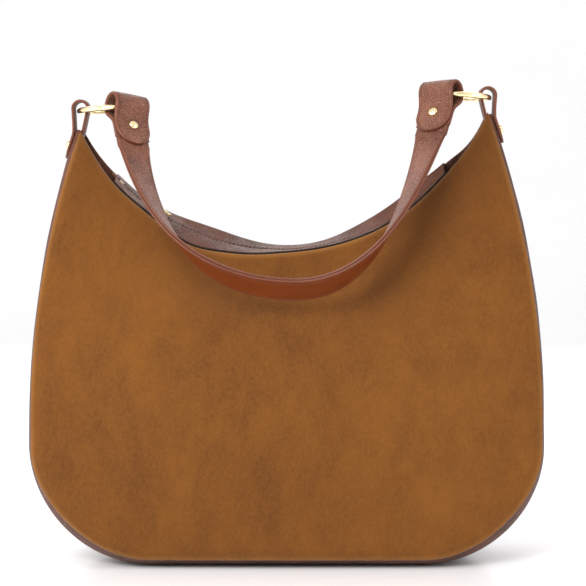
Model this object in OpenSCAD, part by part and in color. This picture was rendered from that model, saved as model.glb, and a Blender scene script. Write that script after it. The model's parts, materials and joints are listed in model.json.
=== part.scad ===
/* [Body] */
// Half of the bag's greatest width
half_width = 201.5; // [190:0.5:215]
// Half length of the flat base, before the round corners
base_half = 106; // [85:1:120]
// Height at which the sides are widest
belly_z = 118; // [112:1:140]
// Radius of the long curve of each side, above the widest height
side_r = 700; // [600:10:900]
// Half depth of the gusset at the base
base_depth = 57; // [48:1:68]
// Half depth of the gusset at the tips
tip_depth = 12; // [10.5:0.5:15]
// How far the padded belly stands out past the seam
belly = 17; // [8:1:20]
// How far the zip draws the two panels in at the mouth
pinch = 7; // [4:1:9]
// How far the seam lies inside the gusset's crown at the base
seam_in_base = 7; // [4:0.5:9]
// How far the seam lies inside the gusset's crown at the sides
seam_in_side = 3; // [2:0.5:5]

/* [Mouth] */
// Radius of the mouth curve
mouth_r = 176.5; // [170:0.5:184]
// Height of the mouth at its lowest
mouth_z = 244; // [236:1:252]
// Sideways place of the mouth curve's centre, which makes one tip the higher
mouth_x = -5; // [-9:1:9]
// Half angle of the zip panel, seen from the mouth curve's centre
zip_half_angle = 48; // [42:1:50]
// Half angle of the zip chain
chain_half_angle = 45; // [40:1:47]

/* [Leather] */
// Thickness of the suede panels
panel_t = 2.5; // [2:0.1:3.5]
// Thickness of the gusset leather
gusset_t = 2; // [1.6:0.1:2.6]
// Thickness of the lining cloth
lining_t = 1.2; // [0.8:0.1:1.6]
// Thickness of facings, zip strips and pocket patches
facing_t = 1.6; // [1.2:0.1:2]
// Gap left between pieces that are sewn or glued together
fit = 0.3; // [0.25:0.05:0.4]

/* [Rings and loops] */
// Radius of each ring, to the middle of its wire
ring_r = 26; // [24:0.5:29]
// Radius of the ring wire
wire_r = 2.25; // [1.8:0.05:2.5]
// How far each ring is tipped, near side up
ring_tilt = 1; // [0:1:4]
// How far each ring is tipped, strap side up
ring_lift = 4; // [2:1:6]
// Width of the gusset loops
loop_w = 21; // [18:1:22]
// Inner radius of the gusset loops
loop_in_r = 4.9; // [4.6:0.1:6]
// Leather thickness of the gusset loops
loop_t = 2.2; // [1.8:0.1:2.6]
// How far the left loop's centre stands above the tip of the panels
loop_rise_left = 16.4; // [14:0.1:18]
// How far the right loop's centre stands above the tip of the panels
loop_rise_right = 14.4; // [14:0.1:18]
// How far the loop's stud lies below the tip of the panels
loop_stud_drop = 13; // [11:1:16]

/* [Strap] */
// Width of the strap's folded ends
strap_w = 30; // [27:1:32]
// How much narrower the strap is between its ends, at each edge
strap_in = 1.5; // [0.5:0.1:2.5]
// Thickness of each of the strap's two plies
ply_t = 1.9; // [1.5:0.1:2.2]
// Leather thickness of the strap's folded ends
fold_t = 3; // [2.6:0.1:3.2]
// Inner radius of the strap's folded ends
fold_in_r = 7.5; // [7.3:0.1:8]
// Where each folded end sits on its ring, as an angle from the ring's inner side
fold_angle = 57; // [55:1:62]
// Length of the tab below the middle of the fold
tab_len = 37; // [34:1:42]
// How far each tab leans forward of upright
tab_lean = 35; // [30:1:38]
// How far the left tab's inner edge hangs below level
tab_roll_left = 9; // [6:1:10]
// How far the right tab's inner edge hangs below level
tab_roll_right = 4; // [2:1:9]
// How far the strap's studs lie below the middle of the fold
strap_stud_drop = 20; // [17:1:22]
// Height of the strap's lowest stretch
strap_low_z = 217.5; // [208:0.5:222]
// How far the strap's lowest stretch lies to the right of the middle
strap_low_x = 6.5; // [0:0.5:8]
// How far the strap's lowest stretch stands in front of the edge of the base
strap_out = 17; // [14:0.5:22]
// Lean of the strap's face at its lowest stretch, 0 is flat
strap_lean = 36; // [25:1:45]
// How much of its drop the strap's left side falls along its tab's line
strap_fall_left = 0.79; // [0.7:0.01:0.85]
// How much of its drop the strap's right side falls along its tab's line
strap_fall_right = 0.55; // [0.5:0.01:0.7]
// How far the strap's lowest stretch runs straight towards its left side
strap_flat_left = 48; // [40:1:56]
// How far the strap's lowest stretch runs straight towards its right side
strap_flat_right = 54; // [46:1:60]

/* [Hardware] */
// Radius of the stud domes
stud_r = 3.9; // [3.2:0.1:4.5]
// Radius of the stud posts
post_r = 1.5; // [1.2:0.1:1.8]
// Width of the zip slider
slider_w = 8.4; // [7:0.2:9]
// Length of the zip slider
slider_l = 11; // [9:0.5:13]
// Length of the zip puller
pull_l = 19; // [14:1:22]

/* [Inside] */
// Half width of the inside pockets
pocket_half = 70; // [55:1:80]
// Height of the zip of the inside pocket
pocket_zip_z = 188; // [182:1:194]
// Height of the slip pocket's upper edge
slip_top_z = 172; // [150:1:180]

/* [Hidden] */
$fn = 48;

suede = "#a5692d";
leather = "#96583c";
leather_inside = "#8a4a22";
cloth = "#8d7257";
tape_colour = "#4a2f20";
gold = "#d9b25a";
board = "#6d5b48";

corner_r = half_width - base_half;
mouth_c = mouth_z + mouth_r;

// Half width of the bag at a height, to the crown of the gusset
function side_x(z) = z < corner_r ? base_half + sqrt(max(0, corner_r^2 - (corner_r - z)^2))
    : z < belly_z ? half_width : half_width - side_r + sqrt(side_r^2 - (z - belly_z)^2);
// Height of the crown's lower curve at a distance from the middle
function low_z(x) = abs(x) < base_half ? 0 : corner_r - sqrt(max(0, corner_r^2 - (abs(x) - base_half)^2));
// How far the seam lies inside the crown at a height
function smooth(t) = let(u = min(1, max(0, t))) u * u * (3 - 2 * u);
function seam_in(z) = seam_in_side + (seam_in_base - seam_in_side) * (1 - smooth(z / belly_z));
// Half width of the mouth circle at a height
function mouth_half(z) = sqrt(max(0, mouth_r^2 - (mouth_c - z)^2));
// Height of a tip, where the mouth curve meets the side, by halving
function tip_z(s, lo, hi, n) = n == 0 ? (lo + hi) / 2 : let(mid = (lo + hi) / 2)
    side_x(mid) - seam_in_side > s * mouth_x + mouth_half(mid) ? tip_z(s, mid, hi, n - 1) : tip_z(s, lo, mid, n - 1);
tip_left = tip_z(-1, mouth_z, mouth_c, 30);
tip_right = tip_z(1, mouth_z, mouth_c, 30);
function tip(s) = s < 0 ? tip_left : tip_right;

// Half depth of the seam at a height, and of the panel's inner face at a place
function seam_y(z) = tip_depth + (base_depth - tip_depth) * (1 - pow(min(1, z / tip_left), 1.6));
function bulge(z) = belly * sin(180 * min(1, z / 225)) - pinch * smooth((z - 190) / 60);
function panel_y(x, z) = seam_y(z) + bulge(z) * max(0, 1 - (x / (side_x(z) - seam_in(z)))^2);
function mouth_at(x) = mouth_c - sqrt(max(0, mouth_r^2 - (x - mouth_x)^2));

// Column limits of a patch that stops short of the seam by inset and short of the mouth by drop
function in_x(z, inset) = side_x(z) - seam_in(z) - inset;
function in_corner(inset) = corner_r - seam_in_base - inset;
function patch_low(x, inset) = let(b = base_half, r = in_corner(inset), w = in_x(belly_z, inset))
    abs(x) < b ? corner_r - r : corner_r - r * sqrt(max(0, 1 - ((abs(x) - b) / (w - b))^2));
function side_z(x, inset, lo, hi, n) = n == 0 ? (lo + hi) / 2 : let(mid = (lo + hi) / 2)
    in_x(mid, inset) > abs(x) ? side_z(x, inset, mid, hi, n - 1) : side_z(x, inset, lo, mid, n - 1);
function patch_high(x, inset, drop) = min(side_z(x, inset, belly_z, mouth_c, 24),
    abs(x - mouth_x) < mouth_r + drop ? mouth_c - sqrt((mouth_r + drop)^2 - (x - mouth_x)^2) : mouth_c);

// A closed sheet that follows the panel's inner face, from depth d0 to depth d1 inside it
module sheet(xs, lows, highs, rows, d0, d1, s) {
    n = len(xs);
    layer = function(d) [for (i = [0:n - 1]) for (j = [0:rows])
        let(z = lows[i] + (highs[i] - lows[i]) * j / rows) [xs[i], s * (panel_y(xs[i], z) - d), z]];
    m = rows + 1;
    all = n * m;
    rim = concat([for (j = [0:rows]) j], [for (i = [1:n - 1]) i * m + rows],
        [for (j = [rows - 1:-1:0]) (n - 1) * m + j], [for (i = [n - 2:-1:1]) i * m]);
    faces = concat(
        [for (i = [0:n - 2]) for (j = [0:rows - 1]) each [[i * m + j, i * m + j + 1, (i + 1) * m + j + 1],
            [i * m + j, (i + 1) * m + j + 1, (i + 1) * m + j]]],
        [for (i = [0:n - 2]) for (j = [0:rows - 1]) each [[all + i * m + j, all + (i + 1) * m + j + 1, all + i * m + j + 1],
            [all + i * m + j, all + (i + 1) * m + j, all + (i + 1) * m + j + 1]]],
        [for (k = [0:len(rim) - 1]) let(a = rim[k], b = rim[(k + 1) % len(rim)]) each [[a, all + a, all + b], [a, all + b, b]]]);
    flip = s < 0 ? faces : [for (f = faces) [f[0], f[2], f[1]]];
    polyhedron(concat(layer(d0), layer(d1)), flip, convexity = 6);
}

// Columns crowd towards the ends, where the outline turns fastest
function columns(lo, hi, n) = [for (i = [0:n]) (lo + hi) / 2 - (hi - lo) / 2 * cos(180 * i / n)];

module wall(s, inset, drop, d0, d1, n, rows) {
    w = in_x(belly_z, inset) - 1;
    xs = columns(-w, w, n);
    sheet(xs, [for (x = xs) patch_low(x, inset)], [for (x = xs) patch_high(x, inset, drop)], rows, d0, d1, s);
}
module band(s, inset, drop, depth, d0, d1, n) {
    half = in_x(tip_left - 6, inset);
    xs = [for (i = [0:n]) -half + 2 * half * i / n];
    tops = [for (x = xs) patch_high(x, inset, drop)];
    sheet(xs, [for (t = tops) t - depth], tops, 4, d0, d1, s);
}
module patch(s, half, low, high, d0, d1, n, rows) {
    xs = [for (i = [0:n]) -half + 2 * half * i / n];
    sheet(xs, [for (x = xs) low], [for (x = xs) high], rows, d0, d1, s);
}

module front_panel() { color(suede) wall(-1, 0, 0, 0, -panel_t, 36, 24); }
module back_panel() { color(suede) wall(1, 0, 0, 0, -panel_t, 36, 24); }

// The gusset: a strip along the outline, flat in the middle and turned in towards the seams
function crown(s, inset, from_x, n) = concat(
    [for (i = [0:2]) let(x = from_x + (base_half - from_x) * i / 3) [s * x, inset, 0, -1, 0]],
    [for (i = [0:9]) let(a = -90 + 90 * i / 9) [s * (base_half + (corner_r - inset) * cos(a)),
        corner_r + (corner_r - inset) * sin(a), s * cos(a), sin(a), corner_r + corner_r * sin(a)]],
    [for (i = [0:n]) let(z = belly_z + (tip(s) - 2 - belly_z) * i / n, a = asin((z - belly_z) / side_r))
        [s * (side_x(z) - inset * cos(a)), z - inset * sin(a), s * cos(a), sin(a), z]]);
gusset_v = [-1, -0.9, -0.8, -0.6, 0.6, 0.8, 0.9, 1];
function turn_in(v) = pow(max(0, (abs(v) - 0.6) / 0.4), 2);
// Each station is [x, z, outward x, outward z, crown height]
module strip(stations, d0, d1, side_gap) {
    n = len(stations);
    k = len(gusset_v);
    ring = function(st) concat(
        [for (v = gusset_v) let(o = -seam_in(st[4]) * turn_in(v) - d0)
            [st[0] + st[2] * o, v * (seam_y(st[4]) - side_gap), st[1] + st[3] * o]],
        [for (i = [k - 1:-1:0]) let(v = gusset_v[i], o = -seam_in(st[4]) * turn_in(v) - d1)
            [st[0] + st[2] * o, v * (seam_y(st[4]) - side_gap), st[1] + st[3] * o]]);
    m = 2 * k;
    points = [for (st = stations) each ring(st)];
    faces = concat(
        [for (i = [0:n - 2]) for (j = [0:m - 1]) let(a = i * m + j, b = i * m + (j + 1) % m)
            each [[a, b, b + m], [a, b + m, a + m]]],
        [for (j = [0:k - 2]) each [[j, m - 1 - j, m - 2 - j], [j, m - 2 - j, j + 1]]],
        [for (j = [0:k - 2]) let(e = (n - 1) * m) each [[e + j, e + m - 2 - j, e + m - 1 - j], [e + j, e + j + 1, e + m - 2 - j]]]);
    turn = (stations[n - 1][0] > stations[0][0]) ? faces : [for (f = faces) [f[0], f[2], f[1]]];
    polyhedron(points, [for (f = turn) [f[0], f[2], f[1]]], convexity = 6);
}
base_cut = base_half * 0.6;
module gusset_side(s) {
    color(leather) difference() {
        strip(crown(s, 0, base_cut + fit, 10), 0, gusset_t, 2 * fit);
        at_gusset_stud(s) cylinder(r = post_r + 0.1, h = 30, center = true);
    }
}
module gusset_left() { gusset_side(-1); }
module gusset_right() { gusset_side(1); }
module gusset_base() {
    outer = [for (v = gusset_v) [v * (seam_y(0) - 2 * fit), seam_in_base * turn_in(v)]];
    inner = [for (i = [len(gusset_v) - 1:-1:0]) outer[i] + [0, gusset_t]];
    color(leather) translate([-base_cut, 0, 0]) rotate([90, 0, 90])
        linear_extrude(height = 2 * base_cut) polygon(concat(outer, inner));
}
module gusset_lining() {
    d = gusset_t + fit;
    left = crown(-1, 0, base_half / 3, 10);
    right = crown(1, 0, base_half / 3, 10);
    color(cloth) strip(concat([for (i = [len(left) - 2:-1:0]) left[i]], [for (i = [0:len(right) - 2]) right[i]]),
        d, d + lining_t, 6);
}
module base_board() {
    t = gusset_t + lining_t + 2 * fit;
    color(board) translate([-base_half + 8, -0.55 * base_depth, t]) cube([2 * base_half - 16, 1.1 * base_depth, 1.8]);
}

// A strip of even thickness along a flat path, as an outline
function unit(v) = v / norm(v);
function path_normal(p, i) = let(a = p[max(0, i - 1)], b = p[min(len(p) - 1, i + 1)], t = unit(b - a)) [-t[1], t[0]];
function ribbon_outline(p, t) = concat([for (i = [0:len(p) - 1]) p[i] + path_normal(p, i) * t / 2],
    [for (i = [len(p) - 1:-1:0]) p[i] - path_normal(p, i) * t / 2]);

// The gusset loops: leather tabs folded over the rings and riveted through the gusset
function tip_x(s) = side_x(tip(s));
loop_c_x = function(s) tip_x(s) - 2.6;
loop_c_z = function(s) tip(s) + (s < 0 ? loop_rise_left : loop_rise_right);
loop_mid_r = loop_in_r + loop_t / 2;
loop_foot = 10;
// The gusset's turned-in edges lift the loop's inner leg off its middle by this much
edge_rise = seam_in_side * turn_in(loop_w / 2 / tip_depth);
function loop_path(s) = let(z0 = tip(s) - loop_stud_drop - loop_foot, lean = cos(stud_tilt(s)),
        outside = (fit + loop_t / 2) / lean + 0.2, inside = (gusset_t + fit + edge_rise + loop_t / 2) / lean + 0.2)
    concat([for (i = [0:3]) let(z = z0 + (tip(s) - 2 - z0) * i / 3) [side_x(z) + outside, z]],
        [for (i = [0:10]) let(a = -15 + 225 * i / 10) [loop_c_x(s) + loop_mid_r * cos(a), loop_c_z(s) + loop_mid_r * sin(a)]],
        [for (i = [0:3]) let(z = tip(s) - 3 + (z0 - tip(s) + 3) * i / 3) [side_x(z) - inside, z]]);
module along_y(w) { translate([0, w / 2, 0]) rotate([90, 0, 0]) linear_extrude(height = w) children(); }
stud_z = function(s) tip(s) - loop_stud_drop;
stud_tilt = function(s) asin((stud_z(s) - belly_z) / side_r);
// Places things at a gusset stud: x along the post, outwards, from the gusset's outer face
module at_gusset_stud(s) {
    mirror([s < 0 ? 1 : 0, 0, 0]) translate([side_x(stud_z(s)), 0, stud_z(s)]) rotate([0, -stud_tilt(s), 0])
        rotate([0, 90, 0]) children();
}
loop_clamp = loop_t + fit;
module gusset_loop(s) {
    color(leather) difference() {
        mirror([s < 0 ? 1 : 0, 0, 0]) along_y(loop_w) polygon(ribbon_outline(loop_path(s), loop_t));
        at_gusset_stud(s) cylinder(r = post_r + 0.1, h = 30, center = true);
    }
}
module gusset_loop_left() { gusset_loop(-1); }
module gusset_loop_right() { gusset_loop(1); }
// A dome on a short post; z is out of the leather
module stud(post) {
    rotate_extrude() polygon(concat([[0, -post], [post_r, -post], [post_r, 0]],
        [for (i = [0:8]) let(a = 10 * i) [stud_r * cos(a), 0.7 + 2 * sin(a)]], [[0, 2.7]]));
}
module stud_back() {
    difference() {
        cylinder(r = stud_r - 0.2, h = 1.1);
        translate([0, 0, -1]) cylinder(r = post_r + 0.05, h = 3);
    }
}
gusset_post = gusset_t + edge_rise + 2 * loop_t + 2 * fit + 1.6;
module gusset_studs() { color(gold) for (s = [-1, 1]) at_gusset_stud(s) translate([0, 0, loop_clamp + 0.45]) stud(gusset_post + 0.6); }
module gusset_stud_backs() {
    color(gold) for (s = [-1, 1]) at_gusset_stud(s) translate([0, 0, -gusset_t - edge_rise - loop_clamp - 1.6]) stud_back();
}

// Facings and linings, one behind the other inside each panel
facing_in = 2.5 * fit;
module front_facing() { color(leather_inside) band(-1, 2.2, 0, 30, facing_in, facing_in + facing_t, 40); }
module back_facing() { color(leather_inside) band(1, 2.2, 0, 30, facing_in, facing_in + facing_t, 40); }
lining_in = 4 * fit;
module front_lining() { color(cloth) wall(-1, 5, 31.5, lining_in, lining_in + lining_t, 24, 16); }
module back_lining() { color(cloth) wall(1, 5, 31.5, lining_in, lining_in + lining_t, 24, 16); }

// The zip panel: everything turns about the mouth curve's centre
function on_mouth(beta, r) = [mouth_x + r * sin(beta), mouth_c - r * cos(beta)];
module arc_bar(y0, y1, r0, r1, a0, a1) {
    // a bar round the mouth curve's centre, from angle a0 to a1 either side of straight down
    translate([mouth_x, 0, mouth_c]) rotate([90, 0, 0]) rotate([0, 0, a0 - 90])
        rotate_extrude(angle = a1 - a0, $fn = 180) translate([0, -y1]) translate([r0, 0]) square([r1 - r0, y1 - y0]);
}
zip_r = mouth_r - facing_t;
chain_gap = 0.6;
chain_half = 2.7;
tape_t = 0.6;
strip_in = slider_w / 2 + 0.7;
// Leather strips from the facing to the zip, narrower towards the tips
module zip_strip(s) {
    n = 30;
    angles = [for (i = [0:n]) -zip_half_angle + 2 * zip_half_angle * i / n];
    section = function(b) let(p = on_mouth(b, zip_r), q = on_mouth(b, zip_r + facing_t), e = on_mouth(b, mouth_r),
            out = panel_y(e[0], e[1]) - facing_in - facing_t - fit)
        [[p[0], s * strip_in, p[1]], [p[0], s * out, p[1]], [q[0], s * out, q[1]], [q[0], s * strip_in, q[1]]];
    faces = concat([[0, 1, 2], [0, 2, 3]], [[4 * n, 4 * n + 2, 4 * n + 1], [4 * n, 4 * n + 3, 4 * n + 2]],
        [for (i = [0:n - 1]) for (j = [0:3]) let(a = 4 * i + j, b = 4 * i + (j + 1) % 4)
            each [[a, b + 4, b], [a, a + 4, b + 4]]]);
    polyhedron([for (b = angles) each section(b)], s > 0 ? [for (f = faces) [f[0], f[2], f[1]]] : faces, convexity = 4);
}
module zip_strip_front() { color(leather) zip_strip(-1); }
module zip_strip_back() { color(leather) zip_strip(1); }
tape_r = zip_r + facing_t + fit;
module zip_tape(s) {
    mirror([0, s > 0 ? 0 : 1, 0]) arc_bar(chain_gap + 0.4, strip_in + 6, tape_r, tape_r + tape_t, -zip_half_angle + 1, zip_half_angle - 1);
}
module zip_tape_front() { color(tape_colour) zip_tape(1); }
module zip_tape_back() { color(tape_colour) zip_tape(-1); }
teeth_r = tape_r - 0.1;
module zip_teeth(s) {
    mirror([0, s > 0 ? 0 : 1, 0]) arc_bar(chain_gap, chain_half, teeth_r - 1.5, teeth_r, -chain_half_angle, chain_half_angle);
}
module zip_teeth_front() { color(gold) zip_teeth(1); }
module zip_teeth_back() { color(gold) zip_teeth(-1); }
module zip_stops() {
    color(gold) for (s = [-1, 1]) for (a = [-1, 1]) mirror([0, s > 0 ? 0 : 1, 0])
        arc_bar(chain_gap, chain_half + 0.4, teeth_r - 2, teeth_r, a * (chain_half_angle + 0.9) - 0.7, a * (chain_half_angle + 0.9) + 0.7);
}
module zip_end_tabs() {
    color(leather) for (a = [-1, 1])
        arc_bar(-strip_in + fit, strip_in - fit, zip_r - 0.8, tape_r - fit, a * (zip_half_angle + 0.4) - 0.8, a * (zip_half_angle + 0.4) + 0.8);
}

// Puts things on the zip: x runs along the chain to the right, z towards the mouth curve's centre
module on_zip(beta, r) {
    translate([mouth_x, 0, mouth_c]) rotate([0, -beta, 0]) translate([0, 0, -r]) children();
}
slider_rest = -36;
slider_deg = slider_l / zip_r * 180 / PI;
plate_t = 1.3;
web_half = 0.35;
top_r = teeth_r - 1.5 - 0.35;
under_r = tape_r + tape_t + 0.35;
pin_rise = 2.6;
pin_r = 0.8;
module rounded(l, w, h, r) {
    linear_extrude(height = h) union() {
        square([l, w - 2 * r], center = true);
        square([l - 2 * r, w], center = true);
        for (x = [-1, 1]) for (y = [-1, 1]) translate([x * (l / 2 - r), y * (w / 2 - r)]) circle(r);
    }
}
module slider_bridge() {
    // two ears and the pin that carries the puller
    for (y = [-1, 1]) translate([-slider_l / 2 + 2, y * 2.6 - 0.6, 0]) cube([3, 1.2, pin_rise + pin_r + 0.4]);
    translate([-slider_l / 2 + 3.5, 2.6, pin_rise]) rotate([90, 0, 0]) cylinder(r = pin_r, h = 5.2);
}
module zip_slider() {
    color(gold) union() {
        on_zip(slider_rest, top_r) rounded(slider_l, slider_w, plate_t, 2);
        on_zip(slider_rest, top_r - plate_t + 0.1) slider_bridge();
        arc_bar(-web_half, web_half, top_r - 0.6, under_r + 0.2, slider_rest - 0.25 * slider_deg, slider_rest + 0.25 * slider_deg);
        on_zip(slider_rest, under_r + plate_t) rounded(slider_l - 1, slider_w, plate_t, 2);
    }
}
module puller(l) {
    // an eye round the pin, a neck and a flat tab
    difference() {
        union() {
            translate([0, 1.6, 0]) rotate([90, 0, 0]) cylinder(r = pin_r + 1.1, h = 3.2);
            translate([0, -1.6, -0.7]) cube([6, 3.2, 1.4]);
            translate([5 + (l - 5) / 2, 0, -0.7]) rounded(l - 5, 6, 1.4, 2.4);
        }
        translate([0, 5, 0]) rotate([90, 0, 0]) cylinder(r = pin_r + 0.25, h = 10);
    }
}
module zip_pull() {
    color(gold) on_zip(slider_rest, top_r - plate_t + 0.1) translate([-slider_l / 2 + 3.5, 0, pin_rise]) puller(pull_l);
}

// Inside pockets: a slip pocket on the front wall, a zipped patch pocket on the back wall
pocket_in = lining_in + lining_t + fit;
module slip_pocket() { color(cloth) patch(-1, pocket_half, slip_top_z - 85, slip_top_z, pocket_in, pocket_in + lining_t, 16, 6); }
module zip_pocket_front() {
    color(cloth) patch(1, pocket_half, pocket_zip_z - 100, pocket_zip_z - 7.4, pocket_in, pocket_in + lining_t, 16, 7);
}
module zip_pocket_tapes() {
    color(tape_colour) for (z = [-1, 1]) patch(1, pocket_half, pocket_zip_z + (z < 0 ? -7 : chain_gap + 0.2),
        pocket_zip_z + (z < 0 ? -chain_gap - 0.2 : 7), pocket_in, pocket_in + tape_t, 16, 1);
}
pocket_tooth_in = pocket_in + tape_t + 0.1;
module zip_pocket_teeth() {
    color(gold) for (z = [-1, 1]) patch(1, pocket_half - 5, pocket_zip_z + (z < 0 ? -chain_half : chain_gap),
        pocket_zip_z + (z < 0 ? -chain_gap : chain_half), pocket_tooth_in, pocket_tooth_in + 1.3, 12, 1);
}
pocket_travel = 2 * (pocket_half - 16);
pocket_rest_x = -pocket_half + 16;
pocket_slider_y = panel_y(pocket_half - 10, pocket_zip_z + 4) - pocket_tooth_in - 1.3 - 0.4;
module at_pocket_slider() { translate([pocket_rest_x, pocket_slider_y, pocket_zip_z]) rotate([90, 0, 0]) children(); }
module pocket_slider() {
    color(gold) at_pocket_slider() union() {
        rounded(slider_l - 2, slider_w - 1, plate_t, 2);
        translate([1, 0, plate_t - 0.1]) slider_bridge();
    }
}
// The inside puller lies along its chain
module pocket_pull() {
    color(gold) at_pocket_slider() translate([-slider_l / 2 + 4.5, 0, plate_t - 0.1 + pin_rise]) puller(pull_l - 3);
}

// Rings: each hangs in its loop, with the side that holds the strap lifted
ring_x = function(s) s * (loop_c_x(s) + 1.1 - ring_r * cos(ring_lift));
ring_z = function(s) loop_c_z(s) - 2 + ring_r * sin(ring_lift);
module ring(s) {
    color(gold) translate([ring_x(s), 0, ring_z(s)]) rotate([0, s * ring_lift, 0]) rotate([-ring_tilt, 0, 0])
        rotate_extrude($fn = 96) translate([ring_r, 0]) circle(wire_r, $fn = 32);
}
module ring_left() { ring(-1); }
module ring_right() { ring(1); }

// Folded strap ends, hung from the rings; the strap swings about the line between their middles
fold_drop = 0.5;
fold_mid_r = fold_in_r + fold_t / 2;
fold_reach = ring_r - 2.2;
fold_at = function(s) [ring_x(s) - s * fold_reach * cos(fold_angle) * cos(ring_lift), -fold_reach * sin(fold_angle),
    ring_z(s) + fold_reach * (cos(fold_angle) * sin(ring_lift) + sin(fold_angle) * sin(ring_tilt)) - fold_drop];
tab_roll = function(s) s < 0 ? -tab_roll_left : tab_roll_right;
fold_turn = function(s) s < 0 ? -fold_angle : fold_angle - 180;
// A fold's own directions, out of the tab's face, along the tunnel and up, as the bag's
function fold_way(s, v) = let(x = v[0] * cos(tab_lean) - v[2] * sin(tab_lean),
        up = v[0] * sin(tab_lean) + v[2] * cos(tab_lean), r = tab_roll(s),
        y = v[1] * cos(r) - up * sin(r), z = v[1] * sin(r) + up * cos(r), a = fold_turn(s))
    [x * cos(a) - y * sin(a), x * sin(a) + y * cos(a), z];
leg = fold_t / 2 + fit / 2;
back_leg_len = tab_len - 7;
fold_path = concat([[leg, -tab_len], [leg, -14]],
    [for (i = [0:12]) let(a = -42 + 264 * i / 12) [fold_mid_r * cos(a), fold_mid_r * sin(a)]],
    [[-leg, -14], [-leg, -back_leg_len]]);
module at_fold(s) {
    translate(fold_at(s)) rotate([0, 0, fold_turn(s)]) rotate([tab_roll(s), 0, 0]) rotate([0, -tab_lean, 0]) children();
}
module strap_end(s) {
    color(leather) difference() {
        at_fold(s) intersection() {
            along_y(strap_w) polygon(ribbon_outline(fold_path, fold_t));
            rotate([90, 0, 90]) linear_extrude(height = 60, center = true) union() {
                translate([0, -tab_len + strap_w / 2]) intersection() {
                    circle(strap_w / 2);
                    translate([-strap_w, -strap_w]) square([2 * strap_w, strap_w]);
                }
                translate([-strap_w / 2, -tab_len + strap_w / 2]) square([strap_w, 80]);
                translate([-strap_w / 2, -back_leg_len]) square([strap_w, 8]);
            }
        }
        at_fold(s) translate([0, 0, -strap_stud_drop]) rotate([0, 90, 0]) cylinder(r = post_r + 0.1, h = 30, center = true);
    }
}
module strap_end_left() { strap_end(-1); }
module strap_end_right() { strap_end(1); }
module strap_studs() {
    color(gold) for (s = [-1, 1]) at_fold(s) translate([leg + fold_t / 2 + 0.2, 0, -strap_stud_drop]) rotate([0, 90, 0])
        stud(2 * fold_t + fit + 1.3);
}
module strap_stud_backs() {
    color(gold) for (s = [-1, 1]) at_fold(s) translate([-leg - fold_t / 2 - 1.35, 0, -strap_stud_drop]) rotate([0, 90, 0]) stud_back();
}

// The strap's long run: each side falls along its tab's line and turns level at the lowest stretch,
// while its face turns from the tab's to the leaning one
run_back = leg - fold_t / 2 + ply_t + 0.15;
run_straight = 8;
run_low = [strap_low_x, -base_depth - strap_out, strap_low_z];
run_start = function(s) fold_at(s) + fold_way(s, [-run_back, 0, -back_leg_len - fit]);
run_falls = function(s) run_start(s) + fold_way(s, [0, 0, -run_straight]);
function run_side(s, t) = let(a = run_falls(s), d = fold_way(s, [0, 0, -1]), share = s < 0 ? strap_fall_left : strap_fall_right,
        b = a + d * share * (strap_low_z - a[2]) / d[2],
        c = run_low + [s * (s < 0 ? strap_flat_left : strap_flat_right), 0, 0], m = 1 - t)
    m ^ 3 * a + 3 * m ^ 2 * t * b + 3 * m * t ^ 2 * c + t ^ 3 * run_low;
function run_edge(s, t) = fold_way(s, [0, s, 0]) * (1 - t ^ 0.46) + [0, -cos(strap_lean), sin(strap_lean)] * t ^ 0.46;
run_t = [for (i = [0:16]) i < 3 ? [0, 0.015, 0.04][i] : 0.04 + 0.96 * (i - 2) / 14];
run_p = concat([run_start(-1)], [for (t = run_t) run_side(-1, t)],
    [for (i = [15:-1:0]) run_side(1, run_t[i])], [run_start(1)]);
run_e = concat([run_edge(-1, 0)], [for (t = run_t) run_edge(-1, t)],
    [for (i = [15:-1:0]) run_edge(1, run_t[i])], [run_edge(1, 0)]);
run_half_w = strap_w / 2 - strap_in;
module ply(t0, t1) {
    n = len(run_p);
    section = function(i) let(t = i == 0 ? fold_way(-1, [0, 0, -1]) : i == n - 1 ? fold_way(1, [0, 0, 1])
            : unit(run_p[i + 1] - run_p[i - 1]), e = unit(run_e[i] - t * (run_e[i] * t)), f = -cross(t, e))
        [for (k = [[-1, t0], [1, t0], [1, t1], [-1, t1]]) run_p[i] + e * k[0] * run_half_w + f * k[1]];
    faces = concat([[0, 1, 2], [0, 2, 3]], [[4 * n - 4, 4 * n - 2, 4 * n - 3], [4 * n - 4, 4 * n - 1, 4 * n - 2]],
        [for (i = [0:n - 2]) for (j = [0:3]) let(a = 4 * i + j, b = 4 * i + (j + 1) % 4)
            each j < 2 ? [[a, b + 4, b], [a, a + 4, b + 4]] : [[a, a + 4, b], [b, a + 4, b + 4]]]);
    polyhedron([for (i = [0:n - 1]) each section(i)], faces, convexity = 6);
}
ply_gap = 0.1;
module strap_outer() { color(leather) ply(ply_gap, ply_gap + ply_t); }
module strap_lining() { color(leather_inside) ply(-ply_gap - ply_t, -ply_gap); }

front_panel();
back_panel();
gusset_left();
gusset_base();
gusset_right();
gusset_loop_left();
gusset_loop_right();
gusset_studs();
gusset_stud_backs();
front_facing();
back_facing();
front_lining();
back_lining();
gusset_lining();
base_board();
zip_strip_front();
zip_strip_back();
zip_tape_front();
zip_tape_back();
zip_teeth_front();
zip_teeth_back();
zip_stops();
zip_end_tabs();
slip_pocket();
zip_pocket_front();
zip_pocket_tapes();
zip_pocket_teeth();
ring_left();
ring_right();
strap_outer();
strap_lining();
strap_end_left();
strap_end_right();
strap_studs();
strap_stud_backs();
zip_slider();
zip_pull();
pocket_slider();
pocket_pull();
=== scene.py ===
import json
import math

import bpy
import numpy as np
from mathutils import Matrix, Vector, noise

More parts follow.
